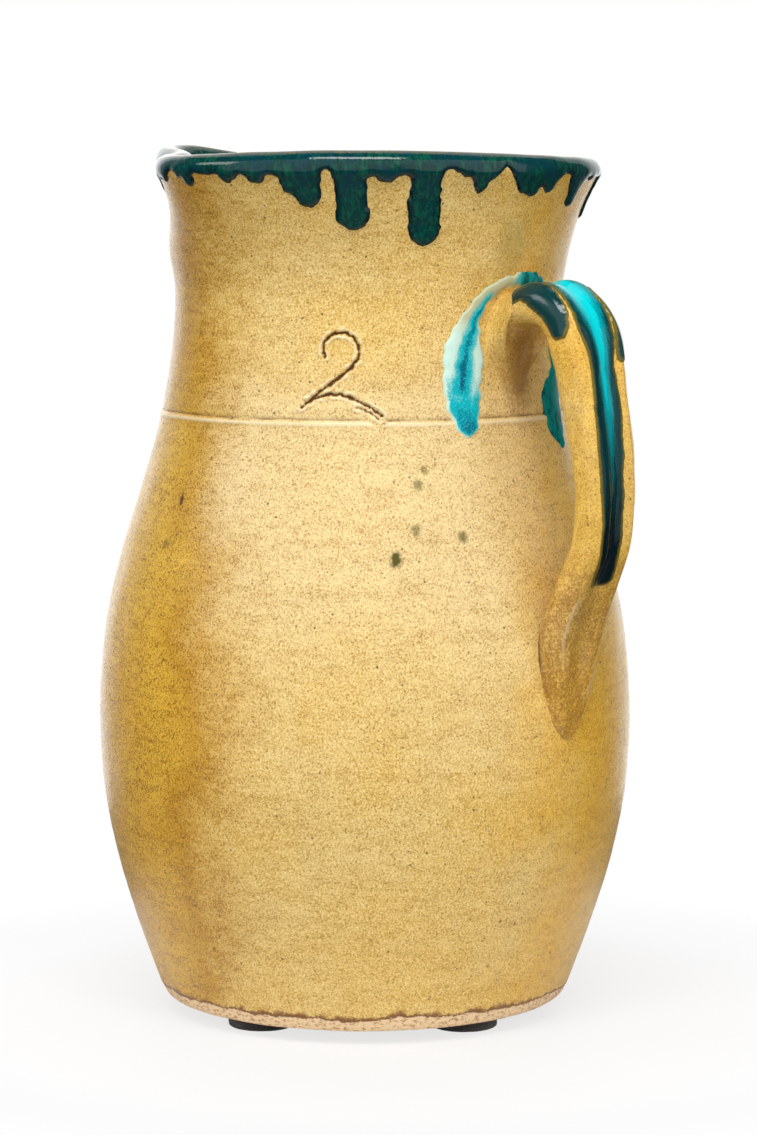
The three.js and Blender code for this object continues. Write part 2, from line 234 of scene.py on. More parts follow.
def pull_spout(points):
    """The lip is drawn out on -X, pushed in at each side and lifted at the tip, on a rim that isn't level."""
    x, y, z = np.moveaxis(points, -1, 0)
    radius = np.maximum(np.hypot(x, y), 1e-6)
    share = smooth(z, RIM_HEIGHT - SPOUT_DEPTH, RIM_HEIGHT)
    angle = np.degrees(np.arctan2(y, x))
    turn = 180 - np.abs(angle)
    tip = bell(turn, SPOUT_SPREAD)
    pinch = bell(turn - PINCH_TURN, PINCH_SPREAD)
    pulled = 1 + share * (SPOUT_REACH * tip - PINCH_DEPTH * pinch) / radius
    swell = RIM_SWELL * bell(angle - SWELL_TURN, SWELL_SPREAD)
    swell = swell + RIM_TILT * np.cos(np.radians(angle - TILT_TURN))
    past = (angle - RISE_TURN + 180) % 360 - 180
    lifted = SPOUT_RISE * bell(past, np.where(past < 0, *RISE_SPREADS))
    lifted = lifted - DIP * bell(turn - DIP_TURN, DIP_SPREAD)
    rise = share**2 * lifted + swell * smooth(z, RIM_HEIGHT - SWELL_DEPTH, RIM_HEIGHT)
    return leaned(stack(x * pulled, y * pulled, z + rise))


def around(radius, height, turn):
    """Points at these radii, heights and angles, before the spout is pulled."""
    angle = np.radians(turn)
    return stack(radius * np.cos(angle), radius * np.sin(angle), height)


# Rows of the outer wall, close together at the foot, the incised marks and the lip: from, to, step
WALL_ROWS = ((FOOT_BEVEL, 7, 0.4), (7, 176, 1.6), (176, 207, 0.42), (207, LIP_FOOT[1] - 0.8, 1.5))
# Columns of the body, close together where the numeral is cut
BODY_COLUMNS = np.concatenate([np.arange(-72, -37, 0.4), np.arange(-37, 288, 1.5)])
HUB = 2
# Zones of the outline. The foot's bevel is between these two.
UNDER, OUTER = 0, 2


def body_outline():
    """The clay's outline from the middle of its underside as (radius, height) rows, and their zones."""
    inner = FOOT_RADIUS - FOOT_ROUND
    under = stack(steps(HUB, inner - 1, 4.5), 0.0)
    bevel = bezier((inner, 0), (FOOT_RADIUS - 2.2, 0.2), (FOOT_RADIUS - 0.9, 1.0), FOOT, 11)[:-1]
    heights = np.unique(np.concatenate([steps(*span) for span in WALL_ROWS]))
    wall = stack(wall_radius(heights), heights)
    corner = FLOOR + FLOOR_FILLET
    levels = steps(FLANK_FOOT, corner, 5)
    inside = stack(wall_radius(levels) - WALL, levels)
    turn = np.linspace(0, math.pi / 2, 7)[1:]
    centre = wall_radius(corner) - WALL - FLOOR_FILLET
    fillet = stack(centre + FLOOR_FILLET * np.cos(turn), corner - FLOOR_FILLET * np.sin(turn))
    floor = stack(steps(centre - 4, HUB, 5), float(FLOOR))
    parts = [under, bevel, wall, lip_arc(17), inside, fillet, floor]
    zones = np.concatenate([np.full(len(part), i) for i, part in enumerate(parts)])
    return np.vstack(parts), zones


def outline_normals(rows):
    along = np.gradient(rows, axis=0)
    return unit(stack(along[:, 1], -along[:, 0]))


# Incised line: its height strays, and it climbs on one side. It has a lip below it.
LINE_HEIGHT = 180.6
LINE_DEPTH = 0.42
LINE_WIDTH = 0.42
LINE_STRAY = 0.25
LINE_RADIUS = 60
LINE_CLIMB = 1.9
CLIMB_SPAN = (60, 130)
LINE_LIP = 0.6
LINE_LIP_BELOW = 1.25
LINE_LIP_WIDTH = 0.8
DEGREE = 1.05

# Cut numeral and the burr beside its strokes
CUT_DEPTH = 0.9
CUT_WIDTH = 0.44
BURR_HEIGHT = 0.36
BURR_AWAY = 1.05
BURR_WIDTH = 0.42
NUMERAL_TURN = -54.5
NUMERAL_RADIUS = 59.4
NUMERAL_HALF = 18
NUMERAL_LOW = 178
NUMERAL_HIGH = 210
NUMERAL_REACH = 2.5
# A plain 2: each stroke's steps, how much thinner it is, and corners as (distance to the right, height)
STROKES = (
    (40, 0.0, (-4.4, 198.8), (-8.2, 207.2), (6.2, 208.6), (5.6, 199.4)),
    (40, 0.0, (5.6, 199.4), (5.0, 195.0), (-3.4, 191.2), (-10.4, 184.4)),
    (40, 0.0, (-10.4, 184.4), (-3.0, 190.6), (3.6, 188.4), (12.6, 182.2)),
    (24, 0.2, (5.6, 184.2), (8.4, 184.0), (10.2, 182.6), (11.8, 181.0)),
)


def marks(turn, height):
    """(displacement, how much of it is cut, how much is raised) of the incised line and numeral."""
    line = LINE_HEIGHT + LINE_STRAY * waves(stack(np.radians(turn) * LINE_RADIUS, 0.0), 70, 11)
    line = line + LINE_CLIMB * smooth(-turn, *CLIMB_SPAN)
    depth = 0.95 + 0.2 * waves(stack(turn * DEGREE, 0.0), 14, 12)
    lip = LINE_LIP * bell(height - line + LINE_LIP_BELOW, LINE_LIP_WIDTH)
    shift = LINE_DEPTH * (lip - depth * bell(height - line, LINE_WIDTH))
    right = np.radians(turn - NUMERAL_TURN) * NUMERAL_RADIUS
    near = (np.abs(right) < NUMERAL_HALF) & (height > NUMERAL_LOW) & (height < NUMERAL_HIGH)
    place = stack(right, height)[near]
    for strength, length, seed in STROKE_SHAKES:
        place = place + strength * stack(waves(place, length, seed), waves(place, length, seed + 1))
    distance = np.full(len(place), -FAR_OUTSIDE)
    for count, thinner, *corners in STROKES:
        gap = np.linalg.norm(place[:, None] - bezier(*corners, count)[None], axis=2).min(axis=1)
        distance = np.minimum(distance, gap + thinner)
    burr = BURR_HEIGHT * np.clip(0.75 + 0.9 * waves(place, 3, 15), 0.1, 2)
    cut = burr * bell(distance - BURR_AWAY, BURR_WIDTH) - CUT_DEPTH * bell(distance, CUT_WIDTH)
    shift[near] = np.where(distance < NUMERAL_REACH, cut, shift[near])
    stained = (0.29 + 0.16 * smooth(-turn, 60, 110)) * depth * bell(height - line - 0.1, 0.4)
    deep = np.maximum(np.clip(-shift / CUT_DEPTH, 0, 1), np.where(shift < 0.1, stained, 0))
    return shift, deep, np.clip(shift / 0.3, 0, 1)


def unevenness(points):
    """The hand-thrown wall's lumps and the rings that the fingers left."""
    x, y, z = np.moveaxis(points, -1, 0)
    phase = 2 * math.pi * z / RING_PITCH + np.arctan2(y, x)
    rings = np.sin(phase) + 0.6 * np.sin(2 * phase + 1)
    return rough(points, LUMPS) + RING_HEIGHT * rings * (0.6 + 0.4 * waves(points, 60, 21))


# Meshes


def to_row(points):
    return np.asarray(points).reshape(-1, 3) * MM + AXIS


def add_object(name, data):
    made = bpy.data.objects.new(name, data)
    bpy.context.scene.collection.objects.link(made)
    return made


def make_piece(name, points, faces, attributes, node, slot, material):
    """A mesh from points in the clay's frame, standing for a CAD node."""
    mesh = bpy.data.meshes.new(name)
    mesh.from_pydata(to_row(points), [], faces)
    mesh.shade_smooth()
    for label, values in attributes.items():
        values = np.asarray(values, np.float32)
        vector = values.size == 3 * len(mesh.vertices)
        layer = mesh.attributes.new(label, "FLOAT_VECTOR" if vector else "FLOAT", "POINT")
        layer.data.foreach_set("vector" if vector else "value", values.ravel())
    mesh.materials.append(material)
    mesh.validate()
    piece = add_object(name, mesh)
    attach(piece, "root")
    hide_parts(node)
    return piece


def grid_faces(rows, columns, wrapped):
    """Quads over a grid of points, wrapped round in its columns or not."""
    last = columns if wrapped else columns - 1
    row, column = np.meshgrid(np.arange(rows - 1), np.arange(last), indexing="ij")
    a = row * columns + column
    b = row * columns + (column + 1) % columns
    return np.stack([a, b, b + columns, a + columns], axis=-1).reshape(-1, 4)


def closed_tube(grid):
    """(points, faces) of a grid that is wrapped in its columns and closed by a fan at each end."""
    rows, columns = grid.shape[:2]
    points = np.vstack([grid.reshape(-1, 3), grid[0].mean(axis=0), grid[-1].mean(axis=0)])
    first = rows * columns
    turn = np.arange(columns)
    after = (turn + 1) % columns
    last = first - columns
    start = [(first, b, a) for a, b in zip(turn, after)]
    end = [(first + 1, a, b) for a, b in zip(turn + last, after + last)]
    return points, [*grid_faces(rows, columns, True).tolist(), *start, *end]


def shell(top, bottom, kept, wrapped):
    """(points, faces, which grid points are used) of a closed skin over the kept cells of a grid."""
    rows, columns = top.shape[:2]
    quads = grid_faces(rows, columns, wrapped)[kept.ravel()]
    edges = np.concatenate([quads[:, [i, (i + 1) % 4]] for i in range(4)])
    both = {tuple(edge) for edge in edges.tolist()}
    rim = [(a, b) for a, b in both if (b, a) not in both]
    used = np.unique(quads)
    place = np.full(rows * columns, -1)
    place[used] = np.arange(len(used))
    lower = len(used)
    upper = place[quads]
    faces = upper.tolist()
    faces += (upper[:, ::-1] + lower).tolist()
    faces += [(place[b], place[a], place[a] + lower, place[b] + lower) for a, b in sorted(rim)]
    points = np.vstack([top.reshape(-1, 3)[used], bottom.reshape(-1, 3)[used]])
    return points, faces, used


def cells(mask, wrapped):
    """Cells of a grid with any marked corner."""
    right = np.roll(mask, -1, axis=1) if wrapped else mask[:, 1:]
    left = mask if wrapped else mask[:, :-1]
    any_corner = left | right
    return any_corner[:-1] | any_corner[1:]


SKIN_MARGIN = 1.0
SKIN_DEPTH = 1.0
SINK = 0.6


def glaze_height(inside, height=GLAZE_HEIGHT, edge=GLAZE_EDGE):
    """How high a glaze stands at a distance inside its edge: rounded up at the edge, sunk outside it."""
    share = np.clip(inside / edge, 0, 1)
    return np.where(inside > 0, height * np.sqrt(1 - (1 - share) ** 2), SINK * inside)


def make_skin(name, surface, inside, lift, wrapped, attributes, node, slot, material):
    """A closed glaze skin over the part of a surface where inside is above the margin."""
    kept = cells(inside > -SKIN_MARGIN, wrapped)
    top = surface(np.maximum(lift, -SINK * SKIN_MARGIN))
    bottom = surface(np.full_like(inside, -SKIN_DEPTH))
    points, faces, used = shell(top, bottom, kept, wrapped)
    both = {}
    for label, values in {"inside": inside, **attributes}.items():
        flat = np.asarray(values).reshape(inside.size, -1)[used]
        both[label] = np.vstack([flat, flat])
    return make_piece(name, points, faces, both, node, slot, material)


# Shader graphs


class Graph:
    """A material's or world's node tree, with short ways to add the nodes that these use."""

    def __init__(self, owner):
        owner.use_nodes = True
        self.owner = owner
        self.tree = owner.node_tree
        self.shader = self.tree.nodes.get("Principled BSDF")

    def node(self, kind, inputs=(), **settings):
        made = self.tree.nodes.new(kind)
        for key, value in settings.items():
            setattr(made, key, value)
        for key, value in dict(inputs).items():
            self.put(made.inputs[key], value)
        return made

    def put(self, socket, value):
        if isinstance(value, bpy.types.NodeSocket):
            self.tree.links.new(value, socket)
        elif socket.type == "RGBA" and len(value) == 3:
            socket.default_value = (*value, 1)
        else:
            socket.default_value = value

    def math(self, operation, a, b):
        return self.node("ShaderNodeMath", {0: a, 1: b}, operation=operation).outputs[0]

    def times(self, a, b):
        return self.math("MULTIPLY", a, b)

    def most(self, a, b):
        return self.math("MAXIMUM", a, b)

    def range(self, value, low, high, to_low=0.0, to_high=1.0, kind="SMOOTHSTEP"):
        made = self.node(
            "ShaderNodeMapRange",
            {"Value": value, "From Min": low, "From Max": high, "To Min": to_low, "To Max": to_high},
            interpolation_type=kind,
        )
        return made.outputs["Result"]

    def line(self, value, low, high, to_low, to_high):
        return self.range(value, low, high, to_low, to_high, "LINEAR")

    def stray(self, value, noise, half, size):
        """A value moved by a noise: up or down by the size where the noise is this half span from 0.5."""
        return self.math("ADD", value, self.line(noise, 0.5 - half, 0.5 + half, -size, size))

    def mix(self, share, a, b, blend="MIX"):
        made = self.node("ShaderNodeMix", data_type="RGBA", blend_type=blend)
        self.put(made.inputs["Factor"], share)
        self.put(made.inputs[6], a)
        self.put(made.inputs[7], b)
        return made.outputs[2]

    def vector(self, operation, a, b=(0, 0, 0)):
        return self.node("ShaderNodeVectorMath", {0: a, 1: b}, operation=operation).outputs

    def stretch(self, vector, sizes):
        return self.vector("MULTIPLY", vector, sizes)[0]

    def axis(self, vector, name):
        return self.node("ShaderNodeSeparateXYZ", {0: vector}).outputs[name]

    def spot(self):
        return self.node("ShaderNodeTexCoord").outputs["Object"]

    def place(self):
        """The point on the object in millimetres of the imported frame."""
        return self.stretch(self.spot(), (1 / MM, 1 / MM, 1 / MM))

    def attribute(self, name):
        return self.node("ShaderNodeAttribute", attribute_name=name).outputs["Fac"]

    def flow(self):
        """The place along and across a glaze or the strap, in millimetres."""
        return self.node("ShaderNodeAttribute", attribute_name="flow").outputs["Vector"]

    def noise(self, vector, size, detail=2.0, roughness=0.5, distortion=0.0, stretch=None):
        """Noise about 0.5 with features of about this size in millimetres."""
        if stretch:
            vector = self.stretch(vector, stretch)
        made = self.node(
            "ShaderNodeTexNoise",
            {"Vector": vector, "Scale": 1 / size, "Detail": detail, "Roughness": roughness,
             "Distortion": distortion},
        )
        return made.outputs["Fac"]

    def specks(self, vector, pitch, radius, share):
        """Round specks, one in some of the cells of this pitch, from 0 to 1."""
        made = self.node("ShaderNodeTexVoronoi", {"Vector": vector, "Scale": 1 / pitch})
        chosen = self.node("ShaderNodeSeparateColor", {"Color": made.outputs["Color"]}).outputs
        size = self.line(chosen[1], 0, 1, 0.5 * radius / pitch, radius / pitch)
        gap = self.math("SUBTRACT", size, made.outputs["Distance"])
        spot = self.range(gap, 0, 0.35 * radius / pitch)
        return self.times(spot, self.math("LESS_THAN", chosen[0], share))

    def bump(self, height, distance, under=None):
        """A bump from a height that runs over this distance in millimetres."""
        inputs = {"Height": height, "Distance": distance * MM, "Strength": 1.0}
        if under is not None:
            inputs["Normal"] = under
        return self.node("ShaderNodeBump", inputs).outputs["Normal"]

    def finish(self, **sockets):
        for name, value in sockets.items():
            self.put(self.shader.inputs[name.replace("_", " ")], value)
        return self.owner


def material_graph(name):
    return Graph(bpy.data.materials.new(name))


# Amber glaze over the clay
AMBER_DEEP = (0.45, 0.24, 0.03)
AMBER_WARM = (0.72, 0.47, 0.120)
AMBER_CREAM = (0.72, 0.505, 0.175)
AMBER_PALE = (0.90, 0.70, 0.30)
# Cream of the shoulder band: partly glaze colour, partly painted highlight
SHOULDER_CREAM_AND_HIGHLIGHT = (0.74, 0.56, 0.275)
# Dark brown of glaze pooled in the cut marks, also used as painted shade along the tail's crease
AMBER_POOL_AND_SHADE = (0.11, 0.040, 0.005)
AMBER_TAIL = (0.28, 0.11, 0.009)
# Paler colour painted on raised burrs: a painted highlight
BURR_HIGHLIGHT = (0.86, 0.72, 0.44)
SPECK_BROWN = (0.24, 0.11, 0.014)
SPECK_DARK = (0.07, 0.03, 0.006)
# Greyish pale painted on the strap's ridges: a painted highlight
RIDGE_HIGHLIGHT_GREY = (0.56, 0.43, 0.25)
BARE_CLAY = (0.86, 0.64, 0.39)
BARE_DARK = (0.40, 0.20, 0.07)
TOASTED = (0.17, 0.05, 0.006)
COPPER_STAIN = (0.085, 0.075, 0.002)
OLIVE_SMUDGE = (0.30, 0.22, 0.03)
BROWN_STAIN = (0.12, 0.04, 0.008)
# Brown under the handle's root: pooled glaze with painted shade
POOL_AND_SHADE_BROWN = (0.26, 0.11, 0.014)
CLAY_IOR = 1.5
CLAY_GLOSS = (0.22, 0.28)
DULL = 0.85
BARE_ROUGHNESS = 0.88
# The pale middle goes over into ochre on the one side and rust and ochre on the other, in this direction,
# which is the camera's right: partly the glaze's own colour, partly painted shade on the sides as seen from
# the camera
ACROSS = (0.73, 0.68, 0)
OCHRE_SHADE_TINT = (1.0, 0.82, 0.26)
OCHRE_SHADE_SPAN = (28, 62)
RUST_SHADE_TINT = (0.76, 0.56, 0.11)
RUST_SHADE_SPAN = (-34, -62)
EDGE_SPAN = (-58, -72)
# Heights in the imported frame between which the shoulder is creamier: partly the glaze's colour, partly a
# painted highlight where the shoulder faces the overhead light
SHOULDER_FOOT = (100, 145)
SHOULDER_TOP = (206, 184)
# How far down the strap its tail is stained, in millimetres
TAIL_STAIN = (112, 138)
# Stretches that draw noise out level round the wall, or along a glaze's or the strap's run
LEVEL = (0.05, 0.05, 1)
RUNNING = (1, 0.5, 1)

# Stains: angle, height, half width, half height, strength, colour
STAINS = (
    (-39.7, 141.4, 2.5, 3.5, 1.0, COPPER_STAIN),
    (-23.2, 147.3, 2.2, 2.6, 0.75, COPPER_STAIN),
    (-34.7, 149.7, 2.0, 2.2, 0.6, COPPER_STAIN),
    (-33.4, 162.3, 2.0, 2.4, 0.65, COPPER_STAIN),
    (-31.5, 166.5, 1.6, 1.9, 0.5, COPPER_STAIN),
    (-101.5, 143.0, 1.8, 2.2, 0.6, COPPER_STAIN),
    (-99.2, 156.0, 1.2, 3.4, 1.0, BROWN_STAIN),
    (-3.0, 230.0, 8.0, 12.0, 0.4, OLIVE_SMUDGE),
)
# Where the glaze is darker brown under the handle's root: partly glaze pooled there, partly painted shade
# under the arch
ROOT_POOL_AND_SHADE = (1.0, 196.0, 9.0, 22.0, 0.6, POOL_AND_SHADE_BROWN)


def add_tinted_spot(graph, place, colour, turn, height, half_wide, half_high, strength, tint):
    """(colour with a tinted spot round a point of the wall, the spot from 0 to 1): used for the real stains
    and for the painted shade under the handle's root.
    """
    centre = to_row(around(wall_radius(height), height, turn))[0] / MM
    apart = graph.vector("SUBTRACT", place, tuple(centre))[0]
    scaled = graph.stretch(apart, (1 / half_wide, 1 / half_wide, 1 / half_high))
    length = graph.vector("LENGTH", scaled)["Value"]
    spot_share = graph.range(graph.stray(length, graph.noise(place, 1.2, 3), 0.5, 0.45), 1.0, 0.35)
    return graph.mix(graph.times(spot_share, strength), colour, tint), spot_share


def amber_colour(graph, place):
    """(colour, grain, specks) of the speckled satin glaze over buff clay, with painted shade towards the
    sides and a painted highlight on the shoulder.
    """
    cloud = graph.noise(place, 38, 3, 0.6)
    grain = graph.noise(place, 0.55, 2, 0.7)
    patches = graph.noise(place, 6, 4, 0.65, stretch=(1, 1, 2.2))
    streaks = graph.noise(place, 3.5, 3, 0.6, stretch=LEVEL)
    colour = graph.mix(graph.range(cloud, 0.35, 0.65), AMBER_CREAM, AMBER_WARM)
    level = graph.axis(place, "Z")
    # Creamier shoulder band, partly a painted highlight on the upward-facing shoulder
    shoulder = graph.times(graph.range(level, *SHOULDER_FOOT), graph.range(level, *SHOULDER_TOP))
    colour = graph.mix(graph.times(shoulder, 0.85), colour, SHOULDER_CREAM_AND_HIGHLIGHT)
    mottle = graph.stray(graph.stray(grain, patches, 0.2, 0.06), streaks, 0.2, 0.028)
    colour = graph.mix(graph.line(mottle, 0.5, 0.32, 0, 0.9), colour, AMBER_DEEP)
    colour = graph.mix(graph.line(mottle, 0.5, 0.68, 0, 0.85), colour, AMBER_PALE)
    # Colour across the camera's view: darker ochre and rust towards both sides, partly painted shade
    side = graph.vector("DOT_PRODUCT", place, ACROSS)["Value"]
    side = graph.stray(graph.stray(side, cloud, 0.2, 10), patches, 0.2, 2.5)
    rust_shade = graph.range(side, *RUST_SHADE_SPAN, 0, 0.95)
    tint = graph.mix(graph.range(side, *OCHRE_SHADE_SPAN, 0, 0.9), (1, 1, 1), OCHRE_SHADE_TINT)
    tint = graph.mix(rust_shade, tint, RUST_SHADE_TINT)
    tint = graph.mix(graph.range(side, *EDGE_SPAN, 0, 0.85), tint, OCHRE_SHADE_TINT)
    colour = graph.mix(1.0, colour, tint, blend="MULTIPLY")
    freckles = graph.times(graph.range(mottle, 0.49, 0.36, 0, 0.7), rust_shade)
    colour = graph.mix(freckles, colour, SPECK_BROWN)
    fine = graph.specks(place, 1.1, 0.4, 0.4)
    colour = graph.mix(graph.times(fine, 0.7), colour, SPECK_BROWN)
    coarse = graph.specks(place, 2.9, 0.5, 0.42)
    colour = graph.mix(graph.times(coarse, 0.8), colour, SPECK_DARK)
    return colour, grain, graph.most(fine, coarse)


def mark_body(graph, place, colour, dull):
    """(colour, least roughness) with the stains, the cut marks with a painted highlight on their raised
    burrs, and the foot that is toasted and bare.
    """
    for stain_row in STAINS:
        colour, spot_share = add_tinted_spot(graph, place, colour, *stain_row)
        dull = graph.most(dull, spot_share)
    # The raised burrs beside the cut are painted paler: a painted highlight
    colour = graph.mix(graph.range(graph.attribute("raised"), 0.2, 0.9, 0, 0.75), colour, BURR_HIGHLIGHT)
    pooled = graph.range(graph.attribute("cut"), 0.12, 0.62)
    colour = graph.mix(pooled, colour, AMBER_POOL_AND_SHADE)
    edge = graph.stray(graph.attribute("edge"), graph.noise(place, 0.9, 4, 0.7), 0.3, 0.8)
    thick = graph.range(graph.noise(place, 4, 2), 0.35, 0.65, 1.1, 2.7)
    toast = graph.math("SUBTRACT", 1.0, graph.math("DIVIDE", edge, thick))
    colour = graph.mix(graph.times(graph.range(toast, 0.0, 0.7), 0.92), colour, TOASTED)
    pits = graph.range(graph.noise(place, 0.9, 4, 0.75, stretch=(0.6, 0.6, 1)), 0.5, 0.6)
    raw = graph.mix(graph.times(pits, 0.85), BARE_CLAY, BARE_DARK)
    bare = graph.range(edge, 0.12, -0.12)
    dull = graph.times(graph.most(dull, pooled), DULL)
    return graph.mix(bare, colour, raw), graph.most(dull, graph.times(bare, BARE_ROUGHNESS))


def mark_handle(graph, place, colour, dull):
    """(colour, least roughness) with the streaks of the pull, the burnt tail, the ridges with a painted
    highlight, and painted shade along the crease where the tail meets the wall.
    """
    flow = graph.flow()
    ridge = graph.attribute("ridge")
    streaks = graph.noise(flow, 1.1, 3, 0.6, stretch=(1, 0.1, 1))
    colour = graph.mix(graph.range(streaks, 0.6, 0.4, 0, 0.25), colour, AMBER_DEEP)
    burnt = graph.stray(graph.noise(place, 0.8, 4, 0.8), graph.noise(place, 5, 3, 0.6), 0.2, 0.06)
    tail = graph.range(graph.axis(flow, "Y"), *TAIL_STAIN)
    tail = graph.times(tail, graph.range(burnt, 0.62, 0.40, 0, 0.72))
    colour = graph.mix(tail, colour, AMBER_TAIL)
    ragged = graph.stray(ridge, streaks, 0.3, 0.3)
    # The ridges are painted greyish pale as a painted highlight, and made rougher below
    colour = graph.mix(graph.range(ragged, 0.45, 0.95, 0, 0.6), colour, RIDGE_HIGHLIGHT_GREY)
    # Darkened along the crease where the tail meets the wall: painted shade
    colour = graph.mix(graph.times(graph.attribute("crease_shade"), 0.9), colour, AMBER_POOL_AND_SHADE)
    return colour, graph.times(graph.most(dull, graph.range(ridge, 0.2, 0.6)), DULL)


def clay_material(name, mark):
    """Amber glaze with what the mark function adds to it."""
    graph = material_graph(name)
    place = graph.place()
    colour, grain, dull = amber_colour(graph, place)
    # Darker brown under the handle's root: pooled glaze and painted shade
    colour, _ = add_tinted_spot(graph, place, colour, *ROOT_POOL_AND_SHADE)
    colour, dull = mark(graph, place, colour, dull)
    gloss = graph.line(graph.noise(place, 9, 3), 0.3, 0.7, *CLAY_GLOSS)
    lines = graph.noise(place, 1.3, 3, 0.6, stretch=(0.04, 0.04, 1))
    return graph.finish(
        Base_Color=colour, Roughness=graph.most(gloss, dull), IOR=CLAY_IOR,
        Normal=graph.bump(grain, 0.10, under=graph.bump(lines, 0.06)),
    )


# Teal glaze over the rim
TEAL_EDGE = (0.001, 0.008, 0.011)
TEAL_BODY = (0.001, 0.030, 0.028)
TEAL_GREEN = (0.003, 0.085, 0.048)
# Blue of a painted reflection high on the rim
TEAL_BLUE_REFLECTION = (0.001, 0.036, 0.052)
TEAL_GREY = (0.008, 0.13, 0.12)
LIP_OLIVE = (0.10, 0.075, 0.012)
REFLECTION_BAND_SPAN = (244, 252)
RIM_IOR = 1.36
RIM_GLOSS = (0.06, 0.1)


def rim_material():
    graph = material_graph("rim_glaze_teal")
    flow = graph.flow()
    streaks = graph.noise(flow, 1.5, 4, 0.75, stretch=RUNNING)
    clouds = graph.noise(flow, 5.5, 3, 0.6)
    fine = graph.noise(flow, 0.5, 3, 0.75)
    dark = graph.noise(flow, 2.0, 3, 0.7)
    colour = graph.mix(graph.range(streaks, 0.44, 0.62), TEAL_BODY, TEAL_GREEN)
    # A bluer band high on the rim, broken up by clouds: a painted reflection
    reflection_band = graph.range(graph.axis(flow, "Y"), *REFLECTION_BAND_SPAN, 0.2, 0.8)
    colour = graph.mix(graph.times(reflection_band, graph.range(clouds, 0.4, 0.62)), colour, TEAL_BLUE_REFLECTION)
    colour = graph.mix(graph.range(fine, 0.56, 0.74, 0, 0.6), colour, TEAL_GREY)
    thin = graph.range(graph.stray(graph.attribute("inside"), fine, 0.5, 0.8), 1.5, 0.3)
    colour = graph.mix(graph.times(thin, graph.range(dark, 0.35, 0.6, 0.35, 1.0)), colour, TEAL_EDGE)
    lip = graph.stray(graph.stray(0.6, fine, 0.3, 0.5), dark, 0.3, 0.4)
    lip = graph.times(lip, graph.range(graph.attribute("crest"), 0.0, 0.5))
    colour = graph.mix(graph.range(lip, 0.4, 0.75), colour, LIP_OLIVE)
    peel = graph.bump(graph.noise(flow, 0.7), 0.035)
    return graph.finish(
        Base_Color=colour, Roughness=graph.range(clouds, 0.3, 0.7, *RIM_GLOSS), IOR=RIM_IOR,
        Normal=graph.bump(graph.noise(flow, 2.4), 0.06, under=peel),
    )


# Turquoise glaze round the handle's root. Its near run is pale above, and its far side is green below.
RUN_FILM = (0.46, 0.45, 0.26)
RUN_PALE = (0.58, 0.80, 0.69)
RUN_RIM = (0.52, 0.66, 0.50)
RUN_TURQUOISE = (0.003, 0.42, 0.48)
RUN_SPARK = (0.08, 0.66, 0.68)
RUN_DEEP = (0.001, 0.19, 0.27)
RUN_CORE = (0.001, 0.07, 0.16)
RUN_PATCH = (0.012, 0.27, 0.25)
RUN_GREEN = (0.004, 0.20, 0.175)
RUN_NAVY = (0.001, 0.007, 0.011)
RUN_TEAL = (0.002, 0.040, 0.042)
FILM_SPAN = (203, 212)
PATCH_SPAN = (204, 214)
FAR_SPAN = (0.5, 2.5)
JOINT_IOR = 1.13
JOINT_GLOSS = 0.12


def joint_material():
    graph = material_graph("joint_glaze_turquoise")
    flow = graph.flow()
    depth = graph.attribute("depth")
    height = graph.axis(flow, "Y")
    speck = graph.noise(flow, 0.5, 3, 0.75)
    blotch = graph.noise(flow, 2.6, 3, 0.6, stretch=RUNNING)
    ragged = graph.stray(graph.stray(depth, speck, 0.2, 0.16), blotch, 0.2, 0.14)
    pale = graph.mix(graph.range(height, *FILM_SPAN), RUN_PALE, RUN_FILM)
    colour = graph.mix(graph.range(ragged, 0.1, 0.6), pale, RUN_TURQUOISE)
    colour = graph.mix(graph.range(ragged, 0.72, 1.0), colour, RUN_DEEP)
    colour = graph.mix(graph.range(ragged, 1.02, 1.3, 0, 0.85), colour, RUN_CORE)
    flake = graph.noise(flow, 0.8, 3, 0.8)
    sparks = graph.times(graph.range(flake, 0.52, 0.7), graph.range(ragged, 0.25, 0.5))
    colour = graph.mix(graph.times(sparks, 0.9), colour, RUN_SPARK)
    far_side = graph.mix(graph.range(height, *PATCH_SPAN), RUN_GREEN, RUN_PATCH)
    far_side = graph.mix(graph.range(speck, 0.5, 0.75, 0, 0.4), far_side, RUN_TURQUOISE)
    far_side = graph.mix(graph.range(blotch, 0.52, 0.36, 0, 0.7), far_side, RUN_TEAL)
    on_far = graph.range(graph.axis(flow, "X"), *FAR_SPAN)
    colour = graph.mix(on_far, colour, far_side)
    thin = graph.range(graph.attribute("inside"), 0.6, 0.1)
    thin = graph.times(thin, graph.range(depth, 0.5, 0.2, 0, 0.6))
    thin = graph.times(thin, graph.math("SUBTRACT", 1.0, on_far))
    return graph.finish(
        Base_Color=graph.mix(thin, colour, RUN_RIM), Roughness=JOINT_GLOSS, IOR=JOINT_IOR,
        Normal=graph.bump(graph.noise(flow, 0.9), 0.05),
    )


# Glazes on the strap
OLIVE_GOLD = (0.17, 0.13, 0.010)
POOL_MIDDLE = (0.002, 0.26, 0.29)
POOL_BRIGHT = (0.002, 0.60, 0.64)
PATCH_TEAL = (0.002, 0.040, 0.042)


